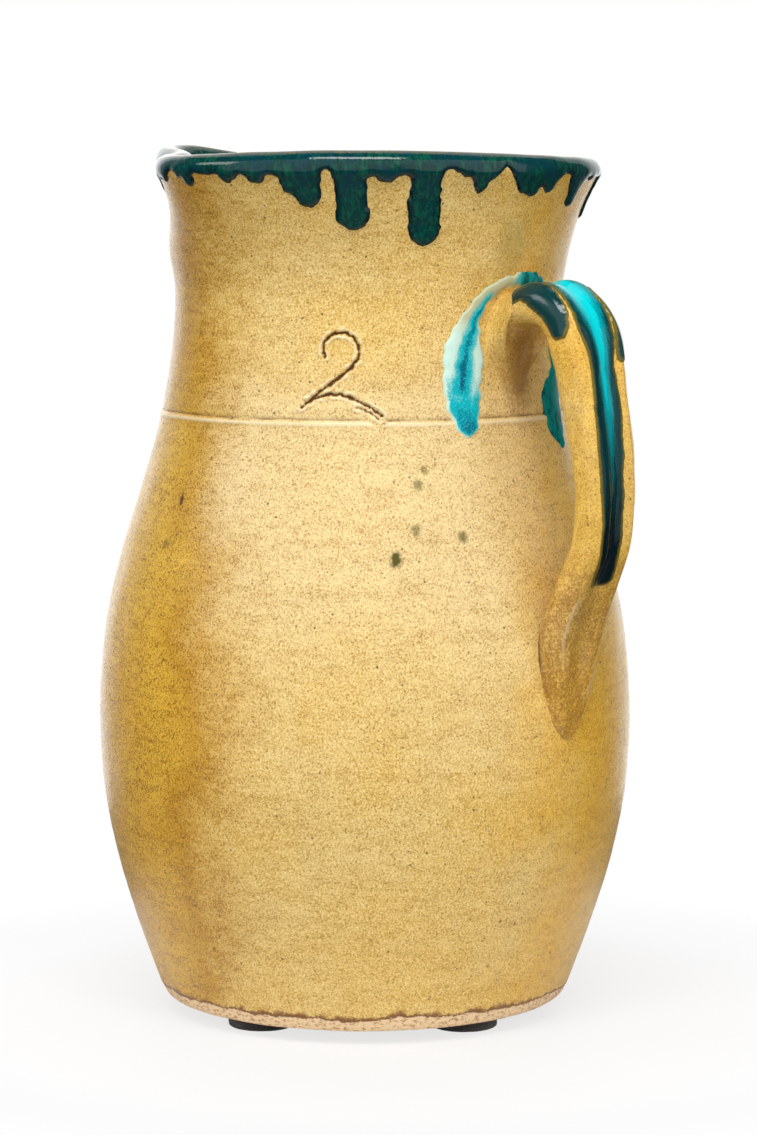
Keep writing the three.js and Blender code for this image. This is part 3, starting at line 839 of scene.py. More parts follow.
def strap_glaze_material(name, middle, bright, index, roughness):
    """Glaze on the strap: bright where it pooled in the groove's upper end, dark below and at its edges."""
    graph = material_graph(name)
    flow = graph.flow()
    streaks = graph.noise(flow, 0.8, 4, 0.6, stretch=(1, 0.12, 1))
    speck = graph.noise(flow, 0.5, 3, 0.75)
    tone = graph.stray(graph.stray(graph.attribute("depth"), streaks, 0.3, 0.16), speck, 0.3, 0.16)
    colour = graph.mix(graph.range(tone, 0.0, 0.3), RUN_NAVY, RUN_TEAL)
    colour = graph.mix(graph.range(tone, 0.3, 0.65), colour, middle)
    colour = graph.mix(graph.range(tone, 0.7, 1.1), colour, bright)
    thin = graph.stray(graph.attribute("inside"), speck, 0.3, 0.5)
    colour = graph.mix(graph.range(thin, 1.1, 0.3, 0, 0.9), colour, OLIVE_GOLD)
    return graph.finish(
        Base_Color=colour, Roughness=roughness, IOR=index,
        Normal=graph.bump(graph.noise(flow, 1.3), 0.05),
    )


FELT_DARK = (0.004, 0.004, 0.005)
FELT_PALE = (0.03, 0.024, 0.024)
FILM_DARK = (0.55, 0.50, 0.40)
FILM_PALE = (0.68, 0.64, 0.55)


def felt_material():
    graph = material_graph("felt_black")
    fibres = graph.noise(graph.place(), 0.35, 4, 0.75, 1.5, stretch=(1, 1, 2.5))
    return graph.finish(
        Base_Color=graph.mix(graph.range(fibres, 0.35, 0.7), FELT_DARK, FELT_PALE),
        Roughness=0.95, Sheen_Weight=0.35, Sheen_Roughness=0.6, Normal=graph.bump(fibres, 0.3),
    )


def film_material():
    graph = material_graph("adhesive_film")
    cloud = graph.noise(graph.place(), 2.5, 3)
    return graph.finish(
        Base_Color=graph.mix(graph.range(cloud, 0.35, 0.65), FILM_DARK, FILM_PALE),
        Roughness=graph.range(cloud, 0.3, 0.7, 0.35, 0.6),
    )


# Thrown body. The underside is a shallow hollow with a swirl, and the bare foot is lower than the glaze.
HOLLOW_DEPTH = 0.8
SWIRL_HEIGHT = 0.12
BARE_STEP = 0.3
NO_GLAZE = -5.0
ALL_GLAZE = 9.0


def body_surface(radius, height, normal, turn, lift):
    base = around(radius, height, turn)
    shift = lift + unevenness(base)
    return pull_spout(around(radius + normal[0] * shift, height + normal[1] * shift, turn))


def make_body(material):
    rows, zones = body_outline()
    normals = outline_normals(rows)
    turn, row = np.meshgrid(BODY_COLUMNS, np.arange(len(rows)))
    radius, height = rows[row, 0], rows[row, 1]
    zone = zones[row]
    above_foot = height - (FOOT_EDGE + rough(around(FOOT_RADIUS, 0, turn), FOOT_RAGS))
    edge = np.where(zone == UNDER, NO_GLAZE, np.where(zone <= OUTER, above_foot, ALL_GLAZE))
    shift, cut, raised = (np.where(zone == OUTER, values, 0) for values in marks(turn, height))
    shift = shift - BARE_STEP * smooth(-edge, -0.5, 0.2)
    swirl = SWIRL_HEIGHT * np.sin(radius * 1.3 + np.radians(turn) * 2)
    swirl = swirl - HOLLOW_DEPTH * (1 - (radius / FOOT_RADIUS) ** 2)
    shift = shift + np.where(zone == UNDER, swirl, 0)
    normal = (normals[row, 0], normals[row, 1])
    points, faces = closed_tube(body_surface(radius, height, normal, turn, shift))
    attributes = {
        "cut": np.append(cut, [0, 0]),
        "raised": np.append(raised, [0, 0]),
        "edge": np.append(edge, [NO_GLAZE, ALL_GLAZE]),
    }
    return make_piece("pitcher_body", points, faces, attributes, "thrown_body", "amber_glaze", material)


# Runs of the rim's glaze: angle, half width at the top and at the tip, and how far it falls below the rim
RUNS = (
    (-106.5, 4.4, 3.0, 6.0), (-98.6, 2.4, 1.6, 5.2), (-95.4, 3.0, 2.0, 7.4), (-82, 5.0, 2.6, 6.2),
    (-74, 5.5, 2.6, 6.5), (-65.4, 2.8, 2.0, 9.6), (-61.3, 4.2, 3.9, 12.9), (-50.4, 4.4, 4.6, 20.0),
    (-41.6, 3.0, 2.0, 5.8), (-32, 4.3, 4.9, 24.1), (-22.4, 1.8, 1.2, 4.4), (-17.8, 4.0, 2.2, 9.0),
    (-4.4, 2.6, 2.2, 9.6), (-1.2, 3.4, 2.6, 10.2), (5.2, 4.4, 2.4, 9.2), (18.3, 6.0, 2.6, 14.0),
    (27, 2.4, 1.6, 6.5), (39.5, 4.4, 3.2, 18.2), (54, 5, 3, 8), (67, 5, 3.6, 14),
    (80, 4.8, 4.2, 22), (95, 6, 3, 9), (109, 5, 3.8, 17), (122, 4, 2, 7),
    (136, 5, 3, 12), (152, 4, 2, 7), (168, 6, 3, 9), (190, 4, 2, 7),
    (210, 6, 3, 8), (226, 4, 2, 6.5), (237, 5, 3, 10), (250, 4, 1.6, 6),
)
# Heights of the glaze's edge between the runs, by angle
NOTCHES = (
    (-180, 251.2), (-116, 251.4), (-101, 252.8), (-90, 251.2), (-84, 251.9), (-68, 251.3), (-56.2, 252.8),
    (-48, 251.0), (-42, 250.6), (-25.7, 253.2), (-21, 251.4), (-14, 250.6), (-11.2, 253.2), (-8.8, 250.6),
    (-5, 247.6), (4, 248.0), (9.4, 251.2), (29, 250.0), (50, 251.2), (180, 251.2),
)
RUN_RADIUS = 64
RUN_TOP = 252.0
RUN_BLEND = 2.0
RIM_COLUMNS = 574
RIM_STEP = 0.5
RIM_LOWEST = 226
RIM_INSIDE = 3


def capsule(places, start, end, start_half, end_half):
    """Distance inside a line that is swollen to these half widths, positive inside."""
    start, end = np.array(start), np.array(end)
    way = end - start
    share = np.clip((places - start) @ way / (way @ way), 0, 1)
    gap = np.linalg.norm(places - (start + share[..., None] * way), axis=-1)
    return start_half + share * (end_half - start_half) - gap


def join(a, b, blend):
    """The larger of two inside distances, rounded where they meet."""
    share = np.clip(0.5 + 0.5 * (a - b) / blend, 0, 1)
    return b + (a - b) * share + blend * share * (1 - share)


def rim_rows():
    """(rows of radius and height, length of the path) of the rim from the outer wall over the lip."""
    heights = steps(RIM_LOWEST, LIP_FOOT[1], RIM_STEP)[:-1]
    outer = stack(wall_radius(heights), heights)
    levels = steps(LIP_CENTRE[1], FLANK_FOOT - RIM_INSIDE, 0.6)[1:]
    flank = wall_radius(FLANK_FOOT) - WALL
    share = np.clip((levels - FLANK_FOOT) / LIP_FLANK, 0, 1)
    wall_side = flank + share * (LIP_CENTRE[0] - LIP_ROUND - flank)
    radius = np.where(levels > FLANK_FOOT, wall_side, wall_radius(levels) - WALL)
    rows = np.vstack([outer, lip_arc(26), stack(radius, levels)])
    run = np.concatenate([[0], np.cumsum(np.linalg.norm(np.diff(rows, axis=0), axis=1))])
    return rows, run + RIM_LOWEST


def make_rim_glaze(material):
    rows, run = rim_rows()
    normals = outline_normals(rows)
    turns = np.arange(RIM_COLUMNS) * 360 / RIM_COLUMNS - 180
    turn, row = np.meshgrid(turns, np.arange(len(rows)))
    ring = around(RUN_RADIUS, 0, turn)
    height = rows[row, 1]
    surface = partial(body_surface, rows[row, 0], height, (normals[row, 0], normals[row, 1]), turn)
    level = surface(0)[..., 2]
    foot = np.argmax(rows[:, 1] >= LIP_FOOT[1])
    fall = np.where(row < foot, level, level[foot] + run[row] - run[foot])
    side = np.radians(turn) * RUN_RADIUS
    spot = stack(ring[..., 0], ring[..., 1], fall)
    across = side + rough(spot, RUN_RAGS_ACROSS)
    down = fall + rough(spot, RUN_RAGS_DOWN)
    inside = fall - (np.interp(turn, *np.array(NOTCHES).T) + rough(ring, NOTCH_RAGS))
    whole = 2 * math.pi * RUN_RADIUS
    for at, top, tip, drop in RUNS:
        centre = math.radians((at + 180) % 360 - 180) * RUN_RADIUS
        away = (across - centre + whole / 2) % whole - whole / 2
        end = RIM_HEIGHT - drop + tip
        run_inside = capsule(stack(away, down), (0, max(RUN_TOP, end + 1)), (0, end), top, tip)
        inside = join(inside, run_inside, RUN_BLEND)
    inner_edge = run[-1] - 3.5 + rough(ring, INNER_RAGS)
    inside = np.minimum(inside, inner_edge - run[row])
    crest = bell(height - RIM_HEIGHT + 0.1, 0.45)
    crest = np.where(row > np.argmax(rows[:, 1]), np.maximum(crest, 0.3), crest)
    attributes = {"flow": stack(side, run[row], 0.0), "crest": crest}
    return make_skin("rim_runs", surface, inside, glaze_height(inside), True, attributes,
                     "rim_glaze", "teal_glaze", material)


# Glaze round the handle's upper root: a ribbon's distance round the neck, height, half width and depth
JOINT_RUN = (
    (-19.5, 178.6, 3.3, 1.15), (-19.8, 181.4, 4.5, 0.95), (-20.0, 184.8, 5.4, 0.62), (-19.9, 188, 5.9, 0.38),
    (-19.3, 193, 6.2, 0.12), (-18.8, 197.5, 6.6, 0.08), (-18.7, 201, 5.8, 0.05), (-17.9, 205, 4.5, 0.0),
    (-16.6, 208.6, 3.3, 0.0), (-14.2, 213, 2.3, 0.0), (-11.6, 216.1, 2.0, 0.0), (-8.4, 218.1, 1.6, 0.02),
    (-4.5, 219.8, 1.5, 0.05), (0.5, 220.4, 1.9, 0.35), (4, 220.2, 2.4, 0.85), (8.5, 219.8, 2.6, 0.9),
    (13, 217.5, 2.8, 0.85), (18, 210, 3.0, 0.85), (23, 201, 2.8, 0.85), (26, 193, 2.8, 0.9),
    (20.2, 184, 6.6, 0.95), (20.6, 178, 5.8, 0.95), (23.0, 172.4, 2.6, 1.0),
)
# The dark streak in the near run: distance round the neck, height and half width
STREAK = (
    (-10.6, 215, 0.3), (-14.3, 211.4, 0.45), (-16.6, 205.6, 0.6),
    (-18.2, 201, 0.8), (-19.4, 195, 0.9), (-20.4, 190, 0.6),
)
JOINT_TURNS = (-34, 34, 0.45)
JOINT_HEIGHTS = (164, 226, 0.45)
JOINT_SWELL = (0.75, 2.4)
TONE_REACH = 2.4


def make_joint_glaze(material):
    turn, height = np.meshgrid(steps(*JOINT_TURNS), steps(*JOINT_HEIGHTS))
    radius = wall_radius(height)
    places = stack(np.radians(turn) * radius, height)
    places = places + 0.35 * stack(waves(places, 6, 51), waves(places, 4.5, 52))
    inside = np.full(turn.shape, FAR_OUTSIDE)
    depth = np.zeros(turn.shape)
    weight = np.full(turn.shape, 1e-9)
    for (*start, half, tone), (*end, end_half, _) in zip(JOINT_RUN, JOINT_RUN[1:]):
        inside = join(inside, capsule(places, start, end, half, end_half), 0.6)
        near = np.exp(-np.linalg.norm(places - start, axis=-1) / TONE_REACH)
        depth += near * tone
        weight += near
    depth = depth / weight * smooth(inside, -0.3, 1.6)
    streak = np.full(turn.shape, FAR_OUTSIDE)
    for (*start, half), (*end, end_half) in zip(STREAK, STREAK[1:]):
        streak = np.maximum(streak, capsule(places, start, end, half, end_half))
    halo = smooth(streak, -3.4, -0.4) * smooth(inside, 0.3, 1.5)
    depth = depth + 0.5 * halo + 0.5 * smooth(streak, -0.5, 0.4)
    surface = partial(body_surface, radius, height, wall_normal(height), turn)
    attributes = {"flow": stack(places[..., 0], places[..., 1], 0.0), "depth": depth}
    return make_skin("joint_runs", surface, inside, glaze_height(inside, *JOINT_SWELL), False, attributes,
                     "joint_glaze", "turquoise_glaze", material)


# Strap handle


def out_to(share):
    return share * GRIP_REACH


def in_to(share):
    return share * GRIP_REACH - STRAP_THICKNESS


# Stations from the root to the tail: outer edge and inner edge, each as a share of the height from tail to
# crest and a stand-off from the wall, then the width, the groove and how far the under side narrows
STATIONS = (
    (0.975, -8, 0.58, -9, 27, 0, 0.75),
    (0.985, 4, 0.74, 0.5, 23.5, 0.2, 0.5),
    (1.01, out_to(0.5), 0.9, in_to(0.5), 21.5, 0.8, 0.1),
    (0.968, out_to(0.885), 0.905, in_to(0.87) - 0.7, 22, 1, 0),
    (0.889, out_to(1.115), 0.83, in_to(1.06) - 1.8, 22, 1, 0),
    (0.787, out_to(1.175), 0.742, in_to(1.12) - 1.6, 21.5, 1, 0),
    (0.643, out_to(1.165), 0.62, in_to(1.11) - 0.8, 20.5, 1, 0),
    (0.53, out_to(1.055), 0.523, in_to(1), 19.7, 1, 0),
    (0.427, out_to(0.875), 0.445, in_to(0.84), 19, 1, 0),
    (0.336, out_to(0.61), 0.358, in_to(0.57), 20.2, 1, 0),
    (0.227, out_to(0.33), 0.26, -0.3, 20, 1.1, 0),
    (0.106, out_to(0.16), 0.125, -5, 16.5, 0.4, 0),
    (-0.005, 0.5, 0.02, -6, 8, 0, 0),
)
# Sharp ridges beside the groove: a share along the strap, and the angle of the near one and of the far one
RIDGES = (
    (-0.15, 112, 66), (0.05, 119, 62), (0.10, 126, 60), (0.16, 135, 64), (0.21, 137, 64),
    (0.29, 126, 60), (0.35, 128, 60), (0.42, 137, 60), (0.54, 130, 58), (0.64, 124, 58),
    (0.74, 134, 54), (0.81, 142, 46), (0.88, 129, 52), (0.93, 118, 64), (0.98, 110, 68),
)
RIDGE_HEIGHT = 0.45
RIDGE_WIDTH = 7
TAIL_FLARE = 0.6
FLARE_REACH = 2.6
TIP_START = 0.962
STRAP_GRAIN = 0.10
STRAP_LUMPS = 0.12
STRAP_END = 0.998
STRAP_LENGTH = 190
ROOT_SINK = 2.5
TAIL_SINK = 3.0

# Where the root's fillet ends on the wall
ROOT_MIDDLE = 199
ROOT_HIGH = 19
ROOT_HALF = 13.2
ROOT_TAPER = 0.5
ROOT_POWER = 0.85
ROOT_INSET = 0.35
ROOT_STEP = 1.08


def spline(points, places, power):
    """A Catmull-Rom curve through points, its knots spaced by their distance to this power."""
    points = np.asarray(points, float)
    run = np.vstack([2 * points[0] - points[1], points, 2 * points[-1] - points[-2]])
    span = np.asarray(places) * (len(points) - 1)
    i = np.clip(span.astype(int), 0, len(points) - 2)
    w = (span - i)[:, None]
    p0, p1, p2, p3 = run[i], run[i + 1], run[i + 2], run[i + 3]
    d0, d1, d2 = (
        np.maximum(np.linalg.norm(b - a, axis=1), 1e-6)[:, None] ** power
        for a, b in ((p0, p1), (p1, p2), (p2, p3))
    )
    m1 = ((p1 - p0) / d0 - (p2 - p0) / (d0 + d1) + (p2 - p1) / d1) * d1
    m2 = ((p2 - p1) / d1 - (p3 - p1) / (d1 + d2) + (p3 - p2) / d2) * d1
    return (
        (2 * w**3 - 3 * w**2 + 1) * p1 + (w**3 - 2 * w**2 + w) * m1
        + (3 * w**2 - 2 * w**3) * p2 + (w**3 - w**2) * m2
    )


def strap_edge(share, stand_off):
    height = TAIL_HEIGHT + share * (CREST_HEIGHT - TAIL_HEIGHT)
    return wall_radius(height) + stand_off, height


OUTER_EDGE = [strap_edge(s[0], s[1]) for s in STATIONS]
INNER_EDGE = [strap_edge(s[2], s[3]) for s in STATIONS]
SECTIONS = [s[4:] for s in STATIONS]


def soften(value, power):
    return np.sign(value) * np.abs(value) ** power


def swept(share, angle):
    """Points of the swept strap at shares of its length (rows) and angles round it (columns)."""
    outer = spline(OUTER_EDGE, share, 0.5)
    inner = spline(INNER_EDGE, share, 0.5)
    width, groove, taper = spline(SECTIONS, share, 0).T[:, :, None]
    out_way = unit(outer - inner)
    thickness = np.linalg.norm(outer - inner, axis=1)[:, None]
    across = soften(np.cos(angle), 2 / SECTION_POWER)[None]
    out = soften(np.sin(angle), 2 / SECTION_POWER)[None]
    press = np.where(out > 0, groove * GROOVE_DEPTH * bell(across, GROOVE_SPREAD) * out, 0)
    narrowed = np.where(out < 0, 1 + taper * out, 1)
    y = across * narrowed * width / 2
    n = out * thickness / 2 - press
    middle = (outer + inner) / 2
    return stack(middle[:, :1] + out_way[:, :1] * n, y, middle[:, 1:] + out_way[:, 1:] * n)


def on_wall(side, height, inset):
    """Points inside the outer wall's face by the inset, at a distance round it from the handle."""
    radius = wall_radius(height)
    return around(radius - inset, height, np.degrees(side / radius))


def footprint(angle):
    """(points on the wall where the root's fillet ends, ways out of it along the wall, its reach)."""
    across = soften(np.cos(angle), ROOT_POWER)
    out = soften(np.sin(angle), ROOT_POWER)
    side = ROOT_HALF * across * np.where(out < 0, 1 + ROOT_TAPER * out, 1)
    high = ROOT_HIGH * out
    points = on_wall(side, ROOT_MIDDLE + high, ROOT_INSET)
    ways = unit(on_wall(side * ROOT_STEP, ROOT_MIDDLE + high * ROOT_STEP, ROOT_INSET) - points)
    fillet = 4.5 - 2 * np.clip(out, 0, 1) + 5 * np.clip(-out, 0, 1)
    return points, ways, fillet


def strap_surface(along, angle):
    """Points of the handle: along is -1 on the wall, 0 where the root joins the strap and 1 at the tail."""
    grid = np.zeros((len(along), len(angle), 3))
    sweep = along >= 0
    grid[sweep] = swept(ROOT_JOIN + along[sweep] * (1 - ROOT_JOIN), angle)
    start, after = swept(np.array([ROOT_JOIN, ROOT_JOIN + 0.004]), angle)
    end, ways, fillet = footprint(angle)
    apart = np.linalg.norm(end - start, axis=-1)[..., None]
    leave = start + unit(start - after) * 0.4 * apart
    arrive = end - ways * np.minimum(fillet[..., None], 0.6 * apart)
    grid[~sweep] = cubic(start, leave, arrive, end, -along[~sweep][:, None, None])
    return soft_tail(grid, along)


def soft_tail(grid, along):
    """Where the tail lies on the wall, its sides flare out into a small fillet, and its tip is round."""
    near = np.clip((FLARE_REACH - off_wall(grid)) / FLARE_REACH, 0, 1.6) ** 2
    tail = smooth(along, 0.62, 0.8)[:, None]
    side = np.clip(grid[..., 1] / 5, -1, 1)
    grid[..., 1] += TAIL_FLARE * near * tail * side
    tip = np.clip((along - TIP_START) / (1 - TIP_START), 0, 1)
    grid[..., 1] *= np.sqrt(1 - 0.96 * tip**2)[:, None]
    return grid


def ridge_share(along, angle):
    """How near each place is to the strap's ridges, from 0 to 1."""
    place, near, far = np.array(RIDGES).T
    turn = np.degrees(angle)[None]
    near_gap = turn - np.interp(along, place, near)[:, None]
    far_gap = turn - np.interp(along, place, far)[:, None]
    near_fade = smooth(along, 0.06, 0.17) * smooth(along, 0.94, 0.82)
    far_fade = smooth(along, -0.25, 0.0) * smooth(along, 0.97, 0.88)
    far_width = RIDGE_WIDTH * (1 + 1.2 * smooth(along, 0.8, 0.92))[:, None]
    return bell(near_gap, RIDGE_WIDTH) * near_fade[:, None] + bell(far_gap, far_width) * far_fade[:, None]


def strap_lifted(along, angle, lift):
    """The handle's surface lifted along its own normal."""
    step = 1e-3
    place = strap_surface(along, angle)
    by_row = strap_surface(along + step, angle) - strap_surface(along - step, angle)
    by_turn = strap_surface(along, angle + step) - strap_surface(along, angle - step)
    normal = unit(np.cross(by_turn, by_row))
    grain = STRAP_GRAIN * waves(place * np.array([0.35, 1, 0.35]), 5, 61) + STRAP_LUMPS * waves(place, 14, 62)
    ridge = RIDGE_HEIGHT * (1 - 0.5 * smooth(along, 0.66, 0.76))[:, None] * ridge_share(along, angle)
    return leaned(place + normal * (lift + grain + ridge)[..., None])


STRAP_SIDES = 112
FILLET_ROWS = 26
STRAP_ROWS = 210


def make_handle(material):
    along = np.concatenate([np.linspace(-1, 0, FILLET_ROWS)[:-1], np.linspace(0, STRAP_END, STRAP_ROWS)])
    angle = np.linspace(0, 2 * math.pi, STRAP_SIDES, endpoint=False)
    grid = strap_lifted(along, angle, 0)
    x, y, z = grid[0].T
    root = around(wall_radius(z) - ROOT_SINK, z, np.degrees(np.arctan2(y, x)))
    tail = grid[-1] - np.array([TAIL_SINK, 0, 0])
    ridge = ridge_share(along, angle) * smooth(along, 0.69, 0.74)[:, None]
    on_tail = (smooth(along, 0.6, 0.75) * smooth(along, 0.95, 0.86))[:, None]
    # Painted shade along the crease where the tail lies on the wall
    crease_shade = bell(off_wall(grid) - 0.2, 0.55) * on_tail * np.clip(0.8 + 0.9 * waves(grid, 5, 63), 0.25, 1)
    flow = stack(angle[None] * 5, along[:, None] * STRAP_LENGTH, 0.0)
    points, faces = closed_tube(np.concatenate([root[None], grid, tail[None]])[:, ::-1])
    attributes = {}
    for label, values in {"ridge": ridge, "crease_shade": crease_shade, "flow": flow}.items():
        # The strap's first and last rows are carried on to its two buried ends
        rows = np.concatenate([values[:1], values, values[-1:]])[:, ::-1]
        rows = rows.reshape((len(along) + 2) * len(angle), -1)
        attributes[label] = np.vstack([rows, rows[:1], rows[-1:]])
    return make_piece("pulled_handle", points, faces, attributes, "strap_handle", "amber_glaze", material)


# Outlines of the strap's glazes: a share along the strap, and the far and the near angle round its section
POOL_OUTLINE = (
    (0.015, 76, 100), (0.06, 66, 116), (0.10, 60, 123), (0.15, 66, 131), (0.21, 71, 133),
    (0.25, 73, 128), (0.29, 79, 122), (0.35, 74, 124), (0.40, 77, 133), (0.46, 80, 134),
    (0.54, 80, 126), (0.64, 78, 120), (0.705, 75, 111),
)
NEAR_OUTLINE = (
    (-0.36, 102, 120), (-0.16, 104, 146), (0.0, 108, 165), (0.05, 116, 178), (0.09, 123, 182),
    (0.13, 129, 187), (0.16, 137, 190), (0.19, 148, 187), (0.213, 164, 177),
)
FAR_OUTLINE = (
    (0.07, 34, 60), (0.12, 20, 60), (0.16, 16, 66), (0.21, 16, 70), (0.25, 26, 72), (0.285, 44, 72),
)
OUTLINE_MARGIN = 14
END_MARGIN = 0.03
ROWS_PER_STRAP = 420
GLAZE_COLUMNS = 72


def make_strap_glaze(name, node, slot, material, outline, tone, wobble, swell, seed):
    """A glaze on the strap inside an outline, with its edge moved in and out by about the wobble."""
    places, far, near = np.array(outline).T
    rows = int((places[-1] - places[0]) * ROWS_PER_STRAP) + 20
    along = np.linspace(places[0] - END_MARGIN, places[-1] + END_MARGIN, rows)
    turn = np.linspace(far.min() - OUTLINE_MARGIN, near.max() + OUTLINE_MARGIN, GLAZE_COLUMNS)
    angle = np.radians(turn)
    flat = strap_surface(along, angle)
    across = np.linalg.norm(np.diff(flat, axis=1, prepend=flat[:, :1]), axis=2).cumsum(axis=1)
    down = np.linalg.norm(np.diff(flat, axis=0, prepend=flat[:1]), axis=2).cumsum(axis=0)
    far_edge, near_edge = (
        np.array([np.interp(np.interp(a, places, side), turn, row) for a, row in zip(along, across)])[:, None]
        for side in (far, near)
    )
    start, end = (np.array([np.interp(p, along, column) for column in down.T]) for p in places[[0, -1]])
    middle = (far_edge + near_edge) / 2
    half = (near_edge - far_edge) / 2
    inside_across = half - np.abs(across - middle)
    inside_along = np.minimum(down - start, end - down)
    inside = -join(-inside_across, -inside_along, 3.0)
    spot = stack(across, down)
    inside = inside + wobble * (waves(spot * np.array([1, 0.5]), 7, seed) + 0.5 * waves(spot, 3, seed + 1))
    depth = tone((across - middle) / half, (down - start) / (end - start))
    attributes = {"flow": stack(across, down, 0.0), "depth": depth}
    surface = partial(strap_lifted, along, angle)
    lift = glaze_height(inside, *swell)
    return make_skin(name, surface, inside, lift, False, attributes, node, slot, material)


def pool_tone(across, length):
    """Bright in the groove near the crest, darker down the strap and up its sides."""
    spread = 0.42 + 0.4 * smooth(length, 0.32, 0.03)
    bright = 1.15 - smooth(length, 0.22, 0.75)
    return (0.2 + bell(across + 0.08, spread) * bright) * smooth(length, 0.92, 0.62)


def dark_tone(across, length):
    return 0.2 + 0.3 * bell(across + 0.1, 0.5) * bell(length - 0.7, 0.3)


# Each strap glaze's piece, node and slot, its material with two colours, IOR and roughness, its outline and
# tone, how far its edge wanders, its height and rounded edge, and its seed
STRAP_GLAZES = (
    ("groove_pool", "groove_glaze", "turquoise_glaze",
     ("groove_glaze_pool", POOL_MIDDLE, POOL_BRIGHT, 1.25, 0.08),
     POOL_OUTLINE, pool_tone, 0.2, (0.55, 1.8), 91),
    ("near_ridge_run", "near_ridge_glaze", "teal_glaze",
     ("near_ridge_glaze_dark", PATCH_TEAL, PATCH_TEAL, 1.4, 0.18),
     NEAR_OUTLINE, dark_tone, 0.25, (1.0, 3.2), 93),
    ("far_ridge_run", "far_ridge_glaze", "teal_glaze",
     ("far_ridge_glaze_dark", PATCH_TEAL, PATCH_TEAL, 1.3, 0.1),
     FAR_OUTLINE, dark_tone, 0.25, (0.6, 1.8), 95),
)

# Felt pads and their adhesive: bulge, fuzz, rounded edge and first seed
PADS = 5
FELT_FORM = (0.25, 0.11, 0.6, 70)
FILM_FORM = (0.0, 0.1, 0.08, 80)
PAD_SIDES = 72


def pad_grid(node, bulge, fuzz, round_edge, seed):
    low, high = ((np.array(corner) - AXIS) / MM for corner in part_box(node))
    radius = (high[0] - low[0]) / 2
    thick = high[2] - low[2]
    turn = np.linspace(0, 2 * math.pi, PAD_SIDES, endpoint=False)
    corner = np.linspace(0, math.pi / 2, 5)
    lower = stack(radius - round_edge * (1 - np.sin(corner)), round_edge * (1 - np.cos(corner)))
    upper = lower[::-1] * np.array([1, -1]) + np.array([0, thick])
    side = stack(radius, np.linspace(round_edge, thick - round_edge, 5)[1:-1])
    flat = stack(np.linspace(0.15, 0.9, 6) * radius, 0.0)
    cap = flat[::-1] + np.array([0, thick])
    rows = np.vstack([flat, lower, side, upper, cap])
    share = np.clip(rows[:, 1] / thick, 0, 1)
    reach = rows[:, 0] + bulge * np.sin(math.pi * share) * (rows[:, 0] / radius) ** 4
    grid = around(reach[:, None], rows[:, 1][:, None], np.degrees(turn))
    stray = fuzz * (waves(grid, 1.6, seed) + 0.8 * waves(grid, 0.8, seed + 1))
    grid[..., :2] *= (1 + stray / radius)[..., None]
    return grid + np.array([(low[0] + high[0]) / 2, (low[1] + high[1]) / 2, low[2]])


def make_pad(name, node, slot, form, i, material):
    *shape, seed = form
    points, faces = closed_tube(pad_grid(node, *shape, seed + i))
    return make_piece(name, points, faces, {}, node, slot, material)


def make_pads(felt, film):
    for i in range(1, PADS + 1):
        pad = make_pad(f"pad_felt_{i}", f"felt_pad_{i}", "black_felt", FELT_FORM, i, felt)
        make_pad(f"pad_film_{i}", f"pad_adhesive_{i}", "adhesive", FILM_FORM, i, film)


# Stage, light and camera
CAMERA_TURN = 43
CAMERA_AWAY = 1.212
CAMERA_HEIGHT = 0.270
CAMERA_SIDE = 0.00412
FOCAL_PIXELS = 4000
DROP_PIXELS = 447.5
FRAME_HEIGHT = 1135
SENSOR = 36
AHEAD = Vector((-math.sin(math.radians(CAMERA_TURN)), math.cos(math.radians(CAMERA_TURN)), 0))
RIGHT = Vector((math.cos(math.radians(CAMERA_TURN)), math.sin(math.radians(CAMERA_TURN)), 0))
TARGET_HEIGHT = 0.13

FLOOR_RADIUS = 0.34
FLOOR_SIDES = 128
FLOOR_SHADOW = 0.08
FLOOR_WHITE = 0.20
FLOOR_GLOW = 0.74
FLOOR_PALE = (0.78, 0.78, 0.775)
FLOOR_GREY = (0.16, 0.16, 0.16)
PALE_RADIUS = 0.13
GREY_RADIUS = 0.19
WORLD_LIGHT = 0.07
BACKDROP_EDGE = (0.78, 0.98)

# Softboxes: angle from the camera's side, angle above the floor, distance, width, height, watts
SOFTBOXES = {
    "over": (-4, 57, 1.25, 0.72, 0.32, 11),
    "left": (-30, 12, 1.3, 2.5, 1.75, 12.9),
    "side": (-81, 29, 1.3, 0.5, 0.28, 2.8),
    "right": (51.5, 12, 1.3, 1.72, 1.75, 11.6),
    "rim": (-140, 8, 1.3, 1.0, 1.5, 1.6),
    "back": (180, 62, 1.3, 1.4, 0.8, 4),
    "behind": (178, 14, 1.3, 2.2, 1.6, 7),
}


def make_camera():
    data = bpy.data.cameras.new("camera")
    data.sensor_width = SENSOR
    data.lens = SENSOR * FOCAL_PIXELS / FRAME_HEIGHT
    camera = add_object("camera", data)
    camera.location = Vector((AXIS[0], AXIS[1], CAMERA_HEIGHT)) - AHEAD * CAMERA_AWAY + RIGHT * CAMERA_SIDE
    drop = math.atan(DROP_PIXELS / FOCAL_PIXELS)
    camera.rotation_euler = (math.pi / 2 - drop, 0, math.radians(CAMERA_TURN))
    bpy.context.scene.camera = camera


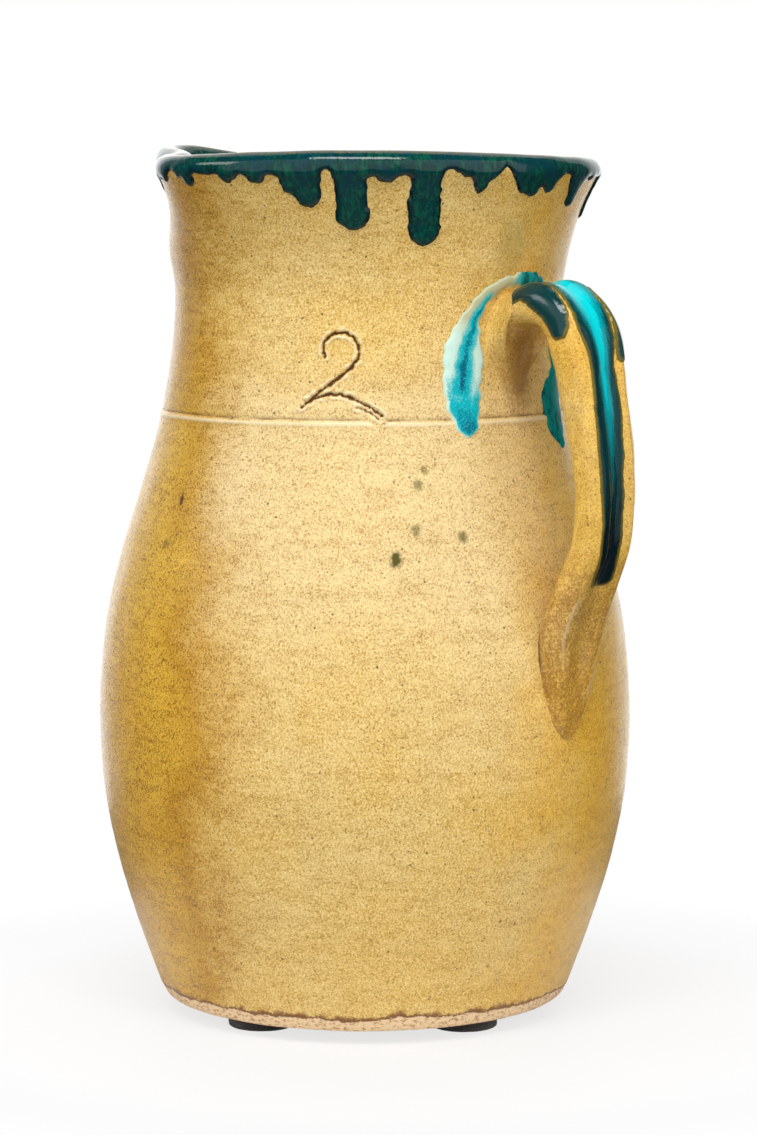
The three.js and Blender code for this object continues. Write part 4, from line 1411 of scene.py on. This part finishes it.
def make_floor():
    """A round pale table that keeps the shadow near the pitcher and goes over into the white ground."""
    graph = material_graph("stage_white")
    path = graph.node("ShaderNodeLightPath").outputs
    away = graph.vector("LENGTH", graph.spot())["Value"]
    seen = graph.most(path["Is Camera Ray"], path["Is Transmission Ray"])
    glow = graph.times(seen, graph.range(away, FLOOR_SHADOW, FLOOR_WHITE, FLOOR_GLOW, 1.0))
    light = graph.node("ShaderNodeEmission", {"Color": (1, 1, 1), "Strength": 1.0})
    both = graph.node("ShaderNodeMixShader", {0: glow, 1: graph.shader.outputs[0], 2: light.outputs[0]})
    graph.put(graph.tree.nodes["Material Output"].inputs["Surface"], both.outputs[0])
    colour = graph.mix(graph.range(away, PALE_RADIUS, GREY_RADIUS), FLOOR_PALE, FLOOR_GREY)
    material = graph.finish(Base_Color=colour, Roughness=0.6)
    turns = [2 * math.pi * i / FLOOR_SIDES for i in range(FLOOR_SIDES)]
    corners = [(FLOOR_RADIUS * math.cos(turn), FLOOR_RADIUS * math.sin(turn), 0) for turn in turns]
    mesh = bpy.data.meshes.new("floor")
    mesh.from_pydata(corners, [], [range(FLOOR_SIDES)])
    mesh.materials.append(material)
    floor = add_object("floor", mesh)


def make_world():
    """A dim studio with a white backdrop behind the pitcher."""
    world = bpy.data.worlds.new("studio")
    graph = Graph(world)
    path = graph.node("ShaderNodeLightPath").outputs
    way = graph.node("ShaderNodeTexCoord").outputs["Generated"]
    backdrop = graph.line(graph.vector("DOT_PRODUCT", way, AHEAD)["Value"], *BACKDROP_EDGE, 0, 1)
    seen = graph.most(path["Is Camera Ray"], path["Is Transmission Ray"])
    seen = graph.most(seen, graph.times(path["Is Glossy Ray"], backdrop))
    ground = graph.tree.nodes["Background"]
    graph.put(ground.inputs["Color"], (1, 1, 1))
    graph.put(ground.inputs["Strength"], graph.line(seen, 0, 1, WORLD_LIGHT, 1.0))
    bpy.context.scene.world = world


def make_softbox(name, turn, rise, away, wide, high, strength):
    """A softbox that looks at the middle of the pitcher."""
    data = bpy.data.lights.new(name, "AREA")
    data.shape = "RECTANGLE"
    data.size = wide
    data.size_y = high
    data.energy = strength
    lamp = add_object(name, data)
    angle = math.radians(CAMERA_TURN + turn)
    level = math.radians(rise)
    way = Vector((math.sin(angle) * math.cos(level), -math.cos(angle) * math.cos(level), math.sin(level)))
    lamp.location = Vector((AXIS[0], AXIS[1], TARGET_HEIGHT)) + way * away
    lamp.rotation_euler = way.to_track_quat("Z", "Y").to_euler()
    lamp.visible_camera = False


make_camera()
make_floor()
make_world()
for label, settings in SOFTBOXES.items():
    make_softbox(f"softbox_{label}", *settings)
make_body(clay_material("amber_speckled_glaze", mark_body))
make_handle(clay_material("amber_handle_glaze", mark_handle))
make_rim_glaze(rim_material())
make_joint_glaze(joint_material())
for piece_name, cad_node, look_slot, look, *form in STRAP_GLAZES:
    make_strap_glaze(piece_name, cad_node, look_slot, strap_glaze_material(*look), *form)
make_pads(felt_material(), film_material())

bpy.context.scene.view_settings.view_transform = "Standard"
